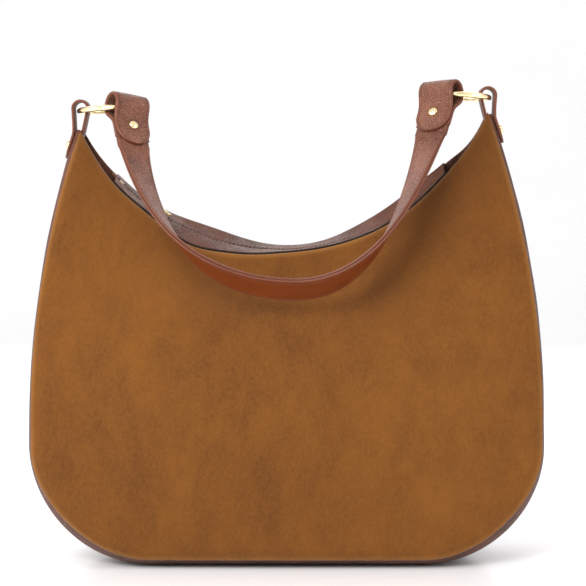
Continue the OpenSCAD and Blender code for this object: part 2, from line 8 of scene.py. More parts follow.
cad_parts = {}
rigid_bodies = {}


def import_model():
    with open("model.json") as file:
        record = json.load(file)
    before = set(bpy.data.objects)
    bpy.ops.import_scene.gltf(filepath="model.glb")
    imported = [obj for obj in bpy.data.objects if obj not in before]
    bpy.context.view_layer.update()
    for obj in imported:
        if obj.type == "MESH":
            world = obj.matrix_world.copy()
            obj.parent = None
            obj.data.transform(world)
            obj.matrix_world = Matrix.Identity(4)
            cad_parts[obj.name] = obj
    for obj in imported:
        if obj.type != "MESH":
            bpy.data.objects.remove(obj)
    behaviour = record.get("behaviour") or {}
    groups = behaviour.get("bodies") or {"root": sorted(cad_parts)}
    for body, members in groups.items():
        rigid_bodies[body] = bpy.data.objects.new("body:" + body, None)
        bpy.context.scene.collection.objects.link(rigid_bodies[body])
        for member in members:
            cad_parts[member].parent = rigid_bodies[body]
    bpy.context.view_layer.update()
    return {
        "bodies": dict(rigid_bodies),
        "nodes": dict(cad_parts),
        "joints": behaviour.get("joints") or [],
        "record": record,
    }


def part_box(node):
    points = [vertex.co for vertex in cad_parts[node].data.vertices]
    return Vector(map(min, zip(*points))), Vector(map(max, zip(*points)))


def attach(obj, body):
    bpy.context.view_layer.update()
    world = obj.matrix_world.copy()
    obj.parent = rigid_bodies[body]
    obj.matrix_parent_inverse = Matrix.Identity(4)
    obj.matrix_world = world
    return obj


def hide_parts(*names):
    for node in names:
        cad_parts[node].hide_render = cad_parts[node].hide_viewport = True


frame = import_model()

joints = {joint["name"]: joint for joint in frame["joints"]}

# ---------------------------------------------------------------------------------------------
# Studio. A pale seamless sweep, one large soft light above the front and two white side fills,
# and a long lens a little above the bag's mouth, as for a catalogue.

PHOTO_WIDTH = 0.4655
CAMERA_AT = Vector((0.0085, -1.75, 0.3064))
CAMERA_LOOKS_AT = Vector((0.0048, 0.0, 0.2108))

camera_data = bpy.data.cameras.new("camera")
camera = bpy.data.objects.new("camera", camera_data)
bpy.context.scene.collection.objects.link(camera)
camera.location = CAMERA_AT
camera.rotation_euler = (CAMERA_LOOKS_AT - CAMERA_AT).to_track_quat("-Z", "Y").to_euler()
camera_data.lens = 36.0 * (CAMERA_LOOKS_AT - CAMERA_AT).length / PHOTO_WIDTH
bpy.context.scene.camera = camera
bpy.context.scene.view_settings.view_transform = "Standard"


def area_light(name, place, target, size, power, colour=(1, 1, 1)):
    data = bpy.data.lights.new(name, "AREA")
    data.shape = "RECTANGLE"
    data.size = size[0]
    data.size_y = size[1]
    data.energy = power
    data.color = colour
    light = bpy.data.objects.new(name, data)
    light.location = place
    light.rotation_euler = (Vector(target) - Vector(place)).to_track_quat("-Z", "Y").to_euler()
    bpy.context.scene.collection.objects.link(light)


area_light("top_front", (-0.7, -1.9, 1.3), (0, 0, 0.2), (1.0, 0.8), 48)
area_light("left_fill", (-1.7, -0.7, 0.6), (0, 0, 0.2), (1.0, 1.4), 17)
area_light("right_fill", (1.7, -0.6, 0.7), (0, 0, 0.2), (1.0, 1.4), 9)
area_light("back_rim", (0.0, 1.5, 1.2), (0, 0, 0.25), (1.8, 0.9), 12)

world = bpy.data.worlds.new("studio")
world.use_nodes = True
world.node_tree.nodes["Background"].inputs["Strength"].default_value = 1.05
bpy.context.scene.world = world
room = world.node_tree.nodes
way = room.new("ShaderNodeTexCoord")
parts = room.new("ShaderNodeSeparateXYZ")
dark_end = room.new("ShaderNodeMapRange")
dark_end.interpolation_type = "SMOOTHSTEP"
for socket, value in zip(("From Min", "From Max", "To Min", "To Max"), (-0.96, -0.78, 0.12, 1.0)):
    dark_end.inputs[socket].default_value = value
world.node_tree.links.new(way.outputs["Generated"], parts.inputs["Vector"])
world.node_tree.links.new(parts.outputs["Y"], dark_end.inputs["Value"])
world.node_tree.links.new(dark_end.outputs["Result"], room["Background"].inputs["Color"])


class Shade:
    """A value in a material's node tree, with Python's operators for its maths."""

    def __init__(self, tree, socket=None):
        self.tree = tree
        self.socket = socket

    def node(self, kind, settings=None, inputs=None, out=0):
        """Adds a node: its settings first, then its sockets' values or links."""
        made = self.tree.nodes.new(kind)
        for name, value in (settings or {}).items():
            setattr(made, name, value)
        for name, value in (inputs or {}).items():
            if isinstance(value, Shade):
                self.tree.links.new(value.socket, made.inputs[name])
            else:
                made.inputs[name].default_value = value
        return Shade(self.tree, made.outputs[out])

    def maths(self, operation, a, b):
        return self.node("ShaderNodeMath", {"operation": operation}, {0: a, 1: b})

    def __add__(self, other):
        return self.maths("ADD", self, other)

    def __radd__(self, other):
        return self.maths("ADD", other, self)

    def __sub__(self, other):
        return self.maths("SUBTRACT", self, other)

    def __rsub__(self, other):
        return self.maths("SUBTRACT", other, self)

    def __mul__(self, other):
        return self.maths("MULTIPLY", self, other)

    def __rmul__(self, other):
        return self.maths("MULTIPLY", other, self)

    def between(self, low, high):
        """0 below low, 1 above high, smooth in between."""
        return self.node("ShaderNodeMapRange", {"interpolation_type": "SMOOTHSTEP"},
                         {0: self, 1: low, 2: high, 3: 0.0, 4: 1.0})

    def mix(self, first, second):
        """The first colour where self is 0, the second where it is 1."""
        return self.node("ShaderNodeMix", {"data_type": "RGBA"}, {0: self, 6: first, 7: second}, 2)

    def place(self):
        return self.node("ShaderNodeTexCoord", out=3)

    def noise(self, scale, detail=2.0, roughness=0.5, distortion=0.0, stretch=None):
        at = self.place()
        if stretch:
            at = self.node("ShaderNodeMapping", inputs={"Vector": at, "Scale": stretch})
        return self.node("ShaderNodeTexNoise", inputs={"Vector": at, "Scale": scale, "Detail": detail,
                                                       "Roughness": roughness, "Distortion": distortion})

    def bump(self, height, distance, strength=1.0, under=None):
        inputs = {"Height": height, "Distance": distance, "Strength": strength}
        if under:
            inputs["Normal"] = under
        return self.node("ShaderNodeBump", inputs=inputs)


def finish(name, constants, paint):
    """A Principled material: constants go on its sockets, paint(shade) returns what varies."""
    material = bpy.data.materials.new(name)
    material.use_nodes = True
    tree = material.node_tree
    shader = tree.nodes["Principled BSDF"]
    for socket, value in constants.items():
        shader.inputs[socket].default_value = value
    for socket, value in paint(Shade(tree)).items():
        tree.links.new(value.socket, shader.inputs[socket])
    return material


def floor_paint(shade):
    cloudy = shade.noise(3.0, 3.0)
    return {"Base Color": cloudy.mix((0.90, 0.893, 0.90, 1), (0.94, 0.933, 0.94, 1))}


floor_finish = finish("floor_finish", {"Roughness": 0.20, "Specular IOR Level": 0.5}, floor_paint)
SWEEP_BACK = 2.2
SWEEP_RADIUS = 1.2
SWEEP_HALF = 5.0
sweep_line = [(-4.0, 0.0)]
sweep_line += [(SWEEP_BACK + SWEEP_RADIUS * math.sin(a), SWEEP_RADIUS * (1 - math.cos(a)))
               for a in np.linspace(0, math.pi / 2, 25)]
sweep_line += [(SWEEP_BACK + SWEEP_RADIUS, 6.0)]
sweep_points = [(x, y, z) for y, z in sweep_line for x in (-SWEEP_HALF, SWEEP_HALF)]
sweep_faces = [(2 * i, 2 * i + 1, 2 * i + 3, 2 * i + 2) for i in range(len(sweep_line) - 1)]
floor_mesh = bpy.data.meshes.new("floor")
floor_mesh.from_pydata(sweep_points, [], sweep_faces)
floor_mesh.shade_smooth()
floor_mesh.materials.append(floor_finish)
floor = bpy.data.objects.new("floor", floor_mesh)
bpy.context.scene.collection.objects.link(floor)

# ---------------------------------------------------------------------------------------------
# Front and back panels. Two lofted sheets of split suede, 2.5 mm with their backing, turned at
# the seams and drawn in at the mouth; the cut edges roll over the gusset's seam.

MM = 0.001
half_width = float(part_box("gusset_right")[1][0])
base_half = 106 * MM
corner_r = half_width - base_half
belly_z = 118 * MM
side_r = 700 * MM
base_depth = 57 * MM
tip_depth = 12 * MM
belly = 17 * MM
pinch = 7 * MM
seam_in_base = 7 * MM
seam_in_side = 3 * MM
panel_t = 2.5 * MM
mouth_x, _, mouth_c = joints["zip_slide"]["pos_m"]
mouth_r = 176.5 * MM
tip_z = {-1: 340.34 * MM, 1: 352.73 * MM}


def smooth(t):
    u = np.clip(t, 0, 1)
    return u * u * (3 - 2 * u)


def side_x(z):
    corner = base_half + np.sqrt(np.maximum(0, corner_r**2 - (corner_r - z) ** 2))
    upper = half_width - side_r + np.sqrt(side_r**2 - np.maximum(0, z - belly_z) ** 2)
    return np.where(z < corner_r, corner, np.where(z < belly_z, half_width, upper))


def seam_in(z):
    return seam_in_side + (seam_in_base - seam_in_side) * (1 - smooth(z / belly_z))


def in_x(z, inset=0.0):
    return side_x(z) - seam_in(z) - inset


def seam_y(z):
    return tip_depth + (base_depth - tip_depth) * (1 - np.minimum(1, np.maximum(z, 0) / tip_z[-1]) ** 1.6)


def panel_y(x, z):
    swell = belly * np.sin(np.pi * np.minimum(1, z / 0.225)) - pinch * smooth((z - 0.190) / 0.060)
    return seam_y(z) + swell * np.maximum(0, 1 - (x / in_x(z)) ** 2)


CORNER_TUCK = 3.4 * MM


def low_edge(x, inset=0.0):
    r = corner_r - seam_in_base - inset
    w = in_x(belly_z, inset)
    across = np.clip((np.abs(x) - base_half) / (w - base_half), 0, 1)
    level = np.sqrt(1 - across**2)
    return corner_r - r * level + 4 * CORNER_TUCK * across**2 * level


def high_edge(x, inset=0.0, drop=0.0):
    heights = np.linspace(belly_z, mouth_c, 600)
    on_side = np.interp(-np.abs(x), -in_x(heights, inset), heights)
    chord = (mouth_r + drop) ** 2 - (x - mouth_x) ** 2
    on_mouth = np.where(chord > 0, mouth_c - np.sqrt(np.maximum(0, chord)), mouth_c)
    return np.minimum(on_side, on_mouth)


def seam_distance(x, z):
    """How far a place on a panel is from the gusset's seam."""
    ax = np.abs(x)
    in_corner = (z < corner_r) & (ax > base_half)
    across = (ax - base_half) / (in_x(corner_r) - base_half)
    level = np.maximum(0, corner_r - z) / (corner_r - seam_in_base)
    f = np.maximum(1e-6, np.hypot(across, level))
    slope = np.hypot(across / (in_x(corner_r) - base_half), level / (corner_r - seam_in_base))
    corner = (1 - f) * f / np.maximum(1e-6, slope) - 4 * CORNER_TUCK * (across * level / f**2) ** 2
    side = in_x(np.maximum(z, corner_r)) - ax
    floor_way = z - seam_in_base
    away = np.where(in_corner, corner, np.minimum(side, np.where(ax < base_half, floor_way, side)))
    return np.maximum(0, away)


def mouth_distance(x, z):
    return np.maximum(0, np.hypot(x - mouth_x, z - mouth_c) - mouth_r)


def bell(x, middle, width):
    return np.exp(-(((x - middle) / width) ** 2))


def edge_shift(side, x):
    """How far the soft mouth edge hangs from its pattern: the front sags, the back stands up."""
    if side < 0:
        return MM * (-9 * bell(x, -0.078, 0.030) - 4 * bell(x, -0.135, 0.022) - 3 * bell(x, -0.035, 0.026)
                     + 4 * bell(x, 0.128, 0.032))
    return MM * (2.2 + 6 * bell(x, -0.062, 0.038) + 11 * bell(x, 0.108, 0.036)
                 + 4 * bell(x, 0.062, 0.028)) * smooth((0.158 - np.abs(x)) / 0.03)


def clouds(points, size, seed):
    """Smooth noise about 0, one value a point."""
    shift = Vector((seed * 7.31, seed * 3.17, seed * 1.73))
    return np.array([noise.noise(Vector(p) / size + shift) for p in points])


def soft_give(side, x, z):
    """How far a panel's skin sways in and out of its pattern; nothing at the seam."""
    spots = np.stack([x, 0 * x + side, z], axis=-1).reshape(-1, 3)
    small = clouds(spots, 0.055, 2 + side).reshape(x.shape)
    wide = clouds(spots, 0.14, 6 + side).reshape(x.shape)
    return smooth(seam_distance(x, z) / (40 * MM)) * (0.8 * MM * small + 1.6 * MM * wide)


def hang(side, x, z):
    """The mouth edge's sag, dying out below it."""
    return edge_shift(side, x) * np.exp(-((mouth_distance(x, z) / (45 * MM)) ** 2))


def mesh_object(name, points, faces, materials, face_slots=None, attributes=None):
    mesh = bpy.data.meshes.new(name)
    mesh.from_pydata([tuple(map(float, p)) for p in points], [], [tuple(map(int, f)) for f in faces])
    for material in materials:
        mesh.materials.append(material)
    if face_slots is not None:
        mesh.polygons.foreach_set("material_index", np.asarray(face_slots, dtype=np.int32))
    for key, values in (attributes or {}).items():
        layer = mesh.attributes.new(key, "FLOAT", "POINT")
        layer.data.foreach_set("value", np.asarray(values, dtype=np.float32))
    mesh.shade_smooth()
    mesh.update()
    made = bpy.data.objects.new(name, mesh)
    bpy.context.scene.collection.objects.link(made)
    return made


def seat(made, body, slot, *nodes):
    """The piece moves with this body and stands in for these CAD nodes."""
    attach(made, body)
    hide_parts(*nodes)


def closed_sheet(name, outer, inner, materials, edge_slot=0, attributes=None):
    """A closed skin between two grids of points that share their size, rows then columns."""
    n, m = outer.shape[:2]
    count = n * m
    at = np.arange(count).reshape(n, m)
    quads = np.stack([at[:-1, :-1], at[:-1, 1:], at[1:, 1:], at[1:, :-1]], axis=-1).reshape(-1, 4)
    rim = np.concatenate([at[0, :], at[1:, -1], at[-1, -2::-1], at[-2:0:-1, 0]])
    after = np.roll(rim, -1)
    wall = np.stack([after, rim, rim + count, after + count], axis=-1)
    faces = np.concatenate([quads, quads[:, ::-1] + count, wall])
    points = np.concatenate([outer.reshape(-1, 3), inner.reshape(-1, 3)])
    slots = np.concatenate([np.zeros(2 * len(quads), int), np.full(len(wall), edge_slot)])
    extra = {key: np.concatenate([v.ravel(), v.ravel()]) for key, v in (attributes or {}).items()}
    made = mesh_object(name, points, faces, materials, slots, extra)
    a, b, c = points[quads[len(quads) // 2][:3]]
    facing = np.cross(b - a, c - a) @ (a - inner.reshape(-1, 3)[quads[len(quads) // 2][0]])
    if facing < 0:
        made.data.flip_normals()
    return made


def suede_paint(shade):
    rim = shade.node("ShaderNodeAttribute", {"attribute_name": "rim"}, out=2)
    wear_and_painted_shade = shade.node("ShaderNodeAttribute", {"attribute_name": "wear_and_painted_shade"}, out=2)
    drift = shade.noise(7.0, 3.0, 0.55, 0.6)
    hand = shade.noise(21.0, 4.0, 0.6, 1.4, (1.0, 1.0, 0.6))
    streak = shade.noise(52.0, 3.0, 0.6, 0.8, (1.0, 1.0, 0.6))
    nap = shade.noise(1400.0, 2.0, 0.7)
    fibre = shade.noise(420.0, 3.0, 0.65, 0.0, (1.0, 1.0, 0.7))
    tone = drift.between(0.34, 0.68) * 0.40 + hand.between(0.36, 0.66) * 0.34
    tone = tone + streak.between(0.35, 0.65) * 0.26
    colour = tone.mix((0.078, 0.0236, 0.0024, 1), (0.146, 0.0505, 0.0062, 1))
    grain = (nap * 0.6 + fibre * 0.4).between(0.36, 0.62)
    colour = (grain * 0.40).mix(colour, (0.186, 0.0705, 0.0112, 1))
    # Painted highlight: the suede is mixed lighter within 4.5 mm of the seams and the mouth edge, where the
    # rolled edge catches the light.
    rim_highlight = 1 - rim.between(0.0, 0.0045)
    colour = (rim_highlight * 0.35).mix(colour, (0.30, 0.125, 0.028, 1))
    scratch = shade.node("ShaderNodeTexNoise", {"noise_type": "RIDGED_MULTIFRACTAL"},
                         {"Vector": shade.place(), "Scale": 11.0, "Detail": 2.0, "Distortion": 1.0})
    # Painted shade and the strap's painted shadow: a dark brown mixed in where the attribute is high, varied
    # by the hand noise.
    painted_shade = wear_and_painted_shade * (0.60 + 0.45 * hand.between(0.3, 0.7))
    colour = (painted_shade * 0.78).mix(colour, (0.050, 0.014, 0.0016, 1))
    fine_mark = scratch.between(1.45, 1.75)
    colour = (fine_mark * 0.20).mix(colour, (0.31, 0.145, 0.040, 1))
    coarse = shade.bump(hand * 0.5 + streak * 0.5, 0.0008, 0.5)
    close = shade.bump(nap * 0.55 + fibre * 0.45, 0.00035, 0.55, coarse)
    return {"Base Color": colour, "Roughness": 0.86 + 0.1 * tone, "Normal": close}


suede = finish("suede", {"Specular IOR Level": 0.18, "Sheen Weight": 0.22, "Sheen Roughness": 0.45,
                         "Sheen Tint": (1.0, 0.80, 0.55, 1)}, suede_paint)

strap_middle_x = 6.5 * MM
PANEL_COLUMNS = 190
PANEL_ROWS = 130


def painted_mouth_and_strap_shade(x, z, from_mouth):
    """Painted shade beside the mouth, where the front panel turns in, and the strap's painted shadow on the
    front panel below it.
    """
    beside = 0.95 * smooth((x - 0.040) / 0.050) * np.exp(-((from_mouth / 0.030) ** 1.5))
    beside += 0.45 * smooth((-x - 0.030) / 0.050) * np.exp(-((from_mouth / 0.016) ** 1.5))
    strap_z = 0.203 + 6.2 * (x - strap_middle_x) ** 2
    below = np.exp(-((np.maximum(0, strap_z - z) / 0.034) ** 1.6))
    below *= np.exp(-((np.maximum(0, z - strap_z) / 0.02) ** 2))
    under = smooth((np.abs(x - strap_middle_x) - 0.020) / 0.055) * below * smooth((0.150 - np.abs(x)) / 0.04)
    return np.clip(np.maximum(beside, 0.62 * under), 0, 1)


def make_panel(name, side, node):
    w = in_x(belly_z) - 0.6 * MM
    xs = -w * np.cos(np.linspace(0, np.pi, PANEL_COLUMNS))
    rows = np.linspace(0, 1, PANEL_ROWS)
    rows = 0.45 * rows + 0.55 * (1 - np.cos(np.pi * rows)) / 2
    x = np.repeat(xs[:, None], PANEL_ROWS, axis=1)
    low, high = low_edge(xs), high_edge(xs)
    z = low[:, None] + (high - low)[:, None] * rows[None, :]
    from_seam, from_mouth = seam_distance(x, z), mouth_distance(x, z)
    rim = np.minimum(from_seam, from_mouth)
    roll = np.sqrt(1 - (1 - np.clip(rim / (3.2 * MM), 0, 1)) ** 2)
    puff = 1.3 * MM * smooth(from_seam / (9 * MM)) * np.exp(-from_seam / (34 * MM))
    along = np.arctan2(z - 0.16, x)
    pucker = 0.28 * MM * np.sin(along * 110 + 3 * np.sin(along * 13)) * np.exp(-from_seam / (5 * MM))
    inner = panel_y(x, z)
    sway = soft_give(side, x, z)
    outer = inner + 0.2 * MM + (panel_t - 0.2 * MM) * roll + puff + pucker + sway
    z_now = z + hang(side, x, z)
    # Only the front panel gets the painted shade beside the mouth and the strap's painted shadow.
    wear_and_painted_shade = painted_mouth_and_strap_shade(x, z_now, from_mouth) if side < 0 else 0 * x
    front = np.stack([x, side * outer, z_now], axis=-1)
    back = np.stack([x, side * (inner + np.minimum(0, sway)), z_now], axis=-1)
    made = closed_sheet(name, front, back, [suede], 0, {"rim": rim, "wear_and_painted_shade": wear_and_painted_shade})
    seat(made, "bag", "suede", node)


make_panel("front_suede", -1, "front_panel")
make_panel("back_suede", 1, "back_panel")

# ---------------------------------------------------------------------------------------------
# Gusset. One long strip of pebbled cowhide, skived at both edges and turned in under the panels;
# it runs from the left tip, under the base and up to the right tip.


def leather_paint(light, dark, grain=1.0):
    """Milled cowhide: small pebbles with creases between them, darker in the creases; the darker creases and
    lighter pebble tops are partly the hide's own tone, partly painted shade and painted highlight of the
    grain's relief.
    """

    def paint(shade):
        warp = shade.noise(260.0, 2.0)
        at = shade.node("ShaderNodeVectorMath", {"operation": "ADD"}, {0: shade.place()})
        shift = shade.node("ShaderNodeVectorMath", {"operation": "SCALE"}, {0: shade.noise(300.0)})
        shift.socket.node.inputs["Scale"].default_value = 0.0016
        shade.tree.links.new(shift.socket, at.socket.node.inputs[1])
        cells = shade.node("ShaderNodeTexVoronoi", {"feature": "DISTANCE_TO_EDGE"},
                           {"Vector": at, "Scale": 640.0 / grain, "Randomness": 0.95})
        small = shade.node("ShaderNodeTexVoronoi", {"feature": "DISTANCE_TO_EDGE"},
                           {"Vector": at, "Scale": 1400.0 / grain, "Randomness": 1.0})
        pebble = cells.between(0.0, 0.30) * 0.75 + small.between(0.0, 0.28) * 0.25
        broad = shade.noise(34.0, 3.0, 0.55)
        tone = pebble * 0.72 + broad.between(0.3, 0.7) * 0.28
        # Creases darker and pebble tops lighter: painted shade and painted highlight of the grain, mixed
        # with the hide's own tone.
        colour = tone.mix(dark, light)
        rough = 0.52 - 0.20 * pebble + 0.08 * warp
        return {"Base Color": colour, "Roughness": rough, "Normal": shade.bump(pebble, 0.0006, 1.0)}

    return paint


def paint_paint(shade):
    """Edge paint: two coats of dark acrylic, a little uneven from the roller."""
    roll = shade.noise(240.0, 3.0, 0.6)
    colour = roll.mix((0.095, 0.028, 0.014, 1), (0.155, 0.050, 0.027, 1))
    return {"Base Color": colour, "Roughness": 0.34 + 0.18 * roll, "Normal": shade.bump(roll, 0.0002, 0.5)}


def thread_paint(shade):
    twist = shade.noise(2600.0, 1.0, 0.5, 0.0, (1.0, 1.0, 1.0))
    colour = twist.mix((0.070, 0.022, 0.012, 1), (0.170, 0.062, 0.036, 1))
    return {"Base Color": colour, "Roughness": 0.55 + 0.2 * twist, "Normal": shade.bump(twist, 0.0002, 0.6)}


leather = finish("leather", {"Specular IOR Level": 0.34},
                 leather_paint((0.340, 0.134, 0.080, 1), (0.055, 0.015, 0.008, 1)))
# A darker copy of the leather: painted shade, for the gusset, the mouth facings and the zip strips, which
# sit in shade.
painted_shade_leather = finish("painted_shade_leather", {"Specular IOR Level": 0.28},
                      leather_paint((0.215, 0.075, 0.042, 1), (0.030, 0.008, 0.004, 1), 0.8))
edge_paint = finish("edge_paint", {"Specular IOR Level": 0.25}, paint_paint)
thread = finish("thread", {"Specular IOR Level": 0.3}, thread_paint)


def skin(name, rings, materials, slots):
    """A closed tube of rings, (stations, points round, 3), with a finish for each step round a ring."""
    n, m = rings.shape[:2]
    at = np.arange(n * m).reshape(n, m)
    nxt = np.roll(at, -1, axis=1)
    quads = np.stack([at[:-1], nxt[:-1], nxt[1:], at[1:]], axis=-1)
    faces = [tuple(q) for q in quads.reshape(-1, 4)]
    face_slots = list(np.tile(slots, n - 1))
    points = list(rings.reshape(-1, 3))
    for row, step in ((0, -1), (n - 1, 1)):
        points.append(rings[row].mean(axis=0))
        middle = len(points) - 1
        loop = at[row][::step]
        faces += [(loop[i], loop[(i + 1) % m], middle) for i in range(m)]
        face_slots += [slots[0]] * m
    made = mesh_object(name, points, faces, materials, face_slots)
    made.data.validate()
    volume = sum(np.dot(points[f[0]], np.cross(points[f[1]], points[f[2]])) for f in faces)
    if volume < 0:
        made.data.flip_normals()
    return made


STITCH_IN = 2.8 * MM


def strip_half(low, high, stitched, crown):
    """Half a strip's section, from its edge to its middle: inset, share of the rest, height, finish."""
    r = 0.42 * (high - low)
    upper = [(0.0, 0, (low + high) / 2, 1), (0.20 * r, 0, high - 0.50 * r, 1),
             (0.75 * r, 0, high - 0.09 * r, 1), (1.5 * r, 0, high, 0)]
    if stitched:
        upper += [(STITCH_IN - 0.5 * MM, 0, high + 0.05 * MM, 0), (STITCH_IN, 0, high - 0.50 * MM, 0),
                  (STITCH_IN + 0.5 * MM, 0, high + 0.05 * MM, 0)]
    upper += [(4.2 * MM, share, high + crown * (0.4 + 0.6 * share), 0) for share in (0.0, 0.4, 0.8)]
    lower = [(0.20 * r, 0, low + 0.50 * r, 1), (0.75 * r, 0, low + 0.09 * r, 1), (1.5 * r, 0, low, 2),
             (4.2 * MM, 0.0, low, 2), (4.2 * MM, 0.8, low, 2)]
    return upper, lower


def strip(name, middle, across, out, half_widths, low, high, materials, stitched=True, crown=0.25 * MM):
    """A leather strip along a line: across and out are unit directions at each place on it."""
    upper, lower = strip_half(low, high, stitched, crown)
    order = [(-1, p) for p in upper] + [(1, p) for p in upper[::-1]]
    order += [(1, p) for p in lower] + [(-1, p) for p in lower[::-1]]
    widest = float(np.max(half_widths))
    squeeze = np.minimum(1, half_widths / (0.6 * widest))
    rings = np.empty((len(middle), len(order), 3))
    for j, (side, (inset, share, height, _)) in enumerate(order):
        reach = np.maximum(0.02 * MM, half_widths - inset * squeeze) * (1 - share)
        rings[:, j] = middle + across * (side * reach)[:, None] + out * height
    slots = [order[j][1][3] for j in range(len(order))]
    return skin(name, rings, materials, slots)


def run_normals(line, across):
    """The way out of a strip's upper face, from its line and the direction across it."""
    along = np.gradient(line, axis=0)
    along /= np.linalg.norm(along, axis=1)[:, None]
    flat = across - along * np.sum(across * along, axis=1)[:, None]
    flat /= np.linalg.norm(flat, axis=1)[:, None]
    return along, flat, np.cross(flat, along)


def lengths_along(line):
    """How far along the line each of its points is."""
    return np.concatenate([[0], np.cumsum(np.linalg.norm(np.diff(line, axis=0), axis=1))])


def even(line, step):
    """The same line with its points a step apart."""
    lengths = lengths_along(line)
    places = np.linspace(0, lengths[-1], max(2, int(round(lengths[-1] / step)) + 1))
    return np.stack([np.interp(places, lengths, line[:, k]) for k in range(line.shape[1])], axis=1)


def rounded(line, passes=3):
    """Cuts a line's corners again and again, so that it runs smooth; its ends stay."""
    for _ in range(passes):
        a, b = line[:-1], line[1:]
        cut = np.stack([0.75 * a + 0.25 * b, 0.25 * a + 0.75 * b], axis=1).reshape(-1, line.shape[1])
        line = np.concatenate([line[:1], cut[1:-1], line[-1:]])
    return line


def stitches(name, line, out, body, pitch=3.3 * MM, length=2.5 * MM, radius=0.30 * MM):
    """A row of lockstitches, each a short fat bead of thread that dips into the leather at its ends."""
    places = even(line, pitch)
    lengths = np.linspace(0, 1, len(line))
    spots = np.linspace(0, 1, len(places))
    ups = np.stack([np.interp(spots, lengths, out[:, k]) for k in range(3)], axis=1)
    ahead = np.gradient(places, axis=0)
    ahead /= np.linalg.norm(ahead, axis=1)[:, None]
    side = np.cross(ahead, ups)
    side /= np.linalg.norm(side, axis=1)[:, None]
    profile = [(-0.5, 0.15, -0.5), (-0.36, 0.85, 0.1), (0.0, 1.0, 0.32), (0.36, 0.85, 0.1),
               (0.5, 0.15, -0.5)]
    around = 6
    last = around * (len(profile) - 1)
    turns = np.linspace(0, 2 * math.pi, around + 1)[:-1]
    points, faces = [], []
    for p, t, u, s in zip(places, ahead, ups, side):
        first = len(points)
        for along, fat, rise in profile:
            for a in turns:
                off = u * (rise + fat * math.sin(a)) + s * fat * math.cos(a)
                points.append(p + t * along * length + off * radius)
        for i in range(len(profile) - 1):
            for j in range(around):
                a, b = first + around * i + j, first + around * i + (j + 1) % around
                faces.append((a, b, b + around, a + around))
        faces.append(tuple(first + j for j in range(around))[::-1])
        faces.append(tuple(first + last + j for j in range(around)))
    made = mesh_object(name, points, faces, [thread])
    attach(made, body)


def gusset_line(side):
    """The crown of one half of the gusset from the base's middle to its tip, with the way outwards."""
    flat = [((x, 0.0), (0.0, -1.0)) for x in np.linspace(0, base_half, 40)[:-1]]
    corner = []
    for a in np.linspace(0, math.pi / 2, 50)[:-1]:
        s, c = math.sin(a), math.cos(a)
        corner.append(((base_half + corner_r * s, corner_r * (1 - c)), (s, -c)))
    wall = [((half_width, z), (1.0, 0.0)) for z in np.linspace(corner_r, belly_z, 10)[:-1]]
    upper = []
    for z in np.linspace(belly_z, tip_z[side], 90):
        lean = math.asin((z - belly_z) / side_r)
        upper.append(((float(side_x(z)), z), (math.cos(lean), math.sin(lean))))
    return [((side * x, z), (side * nx, nz)) for (x, z), (nx, nz) in flat + corner + wall + upper]


gusset_t = 2 * MM
TURN_FROM = 0.6
TURN_SHARE = 1 - TURN_FROM
crown_line = gusset_line(-1)[:0:-1] + gusset_line(1)
crown_places = np.array([[p[0], 0, p[1]] for p, _ in crown_line])
crown_outs = np.array([[n[0], 0, n[1]] for _, n in crown_line])
turn_steps = smooth(np.linspace(0, 1, 14))
gusset_v = np.concatenate([-1 + TURN_SHARE * turn_steps[:-1], np.linspace(-TURN_FROM, TURN_FROM, 21),
                           TURN_FROM + TURN_SHARE * turn_steps[1:]])
rise = crown_places[:, 2]
corner_turn = np.arccos(np.clip(1 - rise / corner_r, 0, 1))
edge_in = seam_in(rise) + CORNER_TUCK * np.sin(2 * corner_turn) ** 2
edge_depth = seam_y(rise + seam_in_base * np.maximum(0, 1 - rise / corner_r))
turn_in = np.maximum(0, (np.abs(gusset_v) - TURN_FROM) / TURN_SHARE) ** 2
dent_across = np.stack([0 * gusset_v, 0.1 * gusset_v, 0 * gusset_v], axis=1)
dent_places = crown_places[:, None] + dent_across[None]
dents = clouds(dent_places.reshape(-1, 3), 0.05, 11).reshape(len(rise), -1)
free = np.clip((rise - 2 * MM) / (30 * MM), 0, 1)[:, None] * (1 - np.abs(gusset_v)[None] ** 4)
slack = free * dents * 1.1 * MM
shift = -edge_in[:, None] * turn_in[None] - 0.15 * MM + np.minimum(0.6 * MM, slack)
gusset_outer = crown_places[:, None] + crown_outs[:, None] * shift[..., None]
gusset_outer[..., 1] = gusset_v[None] * (edge_depth[:, None] - 0.2 * MM)
gusset_inner = gusset_outer - crown_outs[:, None] * gusset_t
# The gusset takes the darker copy of the leather: painted shade.
gusset = closed_sheet("gusset", gusset_outer, gusset_inner, [painted_shade_leather, edge_paint], 1)
seat(gusset, "bag", "leather", "gusset_left", "gusset_base", "gusset_right")

# ---------------------------------------------------------------------------------------------
# Gusset loops. A tab of the same leather is folded through each ring, straddles the gusset's end
# and is held by one domed stud; its edges are painted and it is stitched all round.

loop_rise = {-1: 16.4 * MM, 1: 14.4 * MM}
loop_half = 10.5 * MM
loop_t = 2.2 * MM
loop_bend = 4.9 * MM + loop_t / 2
fit = 0.3 * MM
loop_stud_drop = 13 * MM
edge_rise = seam_in_side * max(0.0, (loop_half / tip_depth - TURN_FROM) / TURN_SHARE) ** 2


def end_round(line, radius, at_start=True, at_end=True):
    """Half widths that close a strip's ends as half circles."""
    lengths = lengths_along(line)
    width = np.full(len(line), radius)
    for wanted, distance in ((at_start, lengths), (at_end, lengths[-1] - lengths)):
        if wanted:
            near = np.clip(1 - distance / radius, 0, 1)
            width = np.minimum(width, radius * np.sqrt(np.maximum(0.0004, 1 - near**2)))
    return width


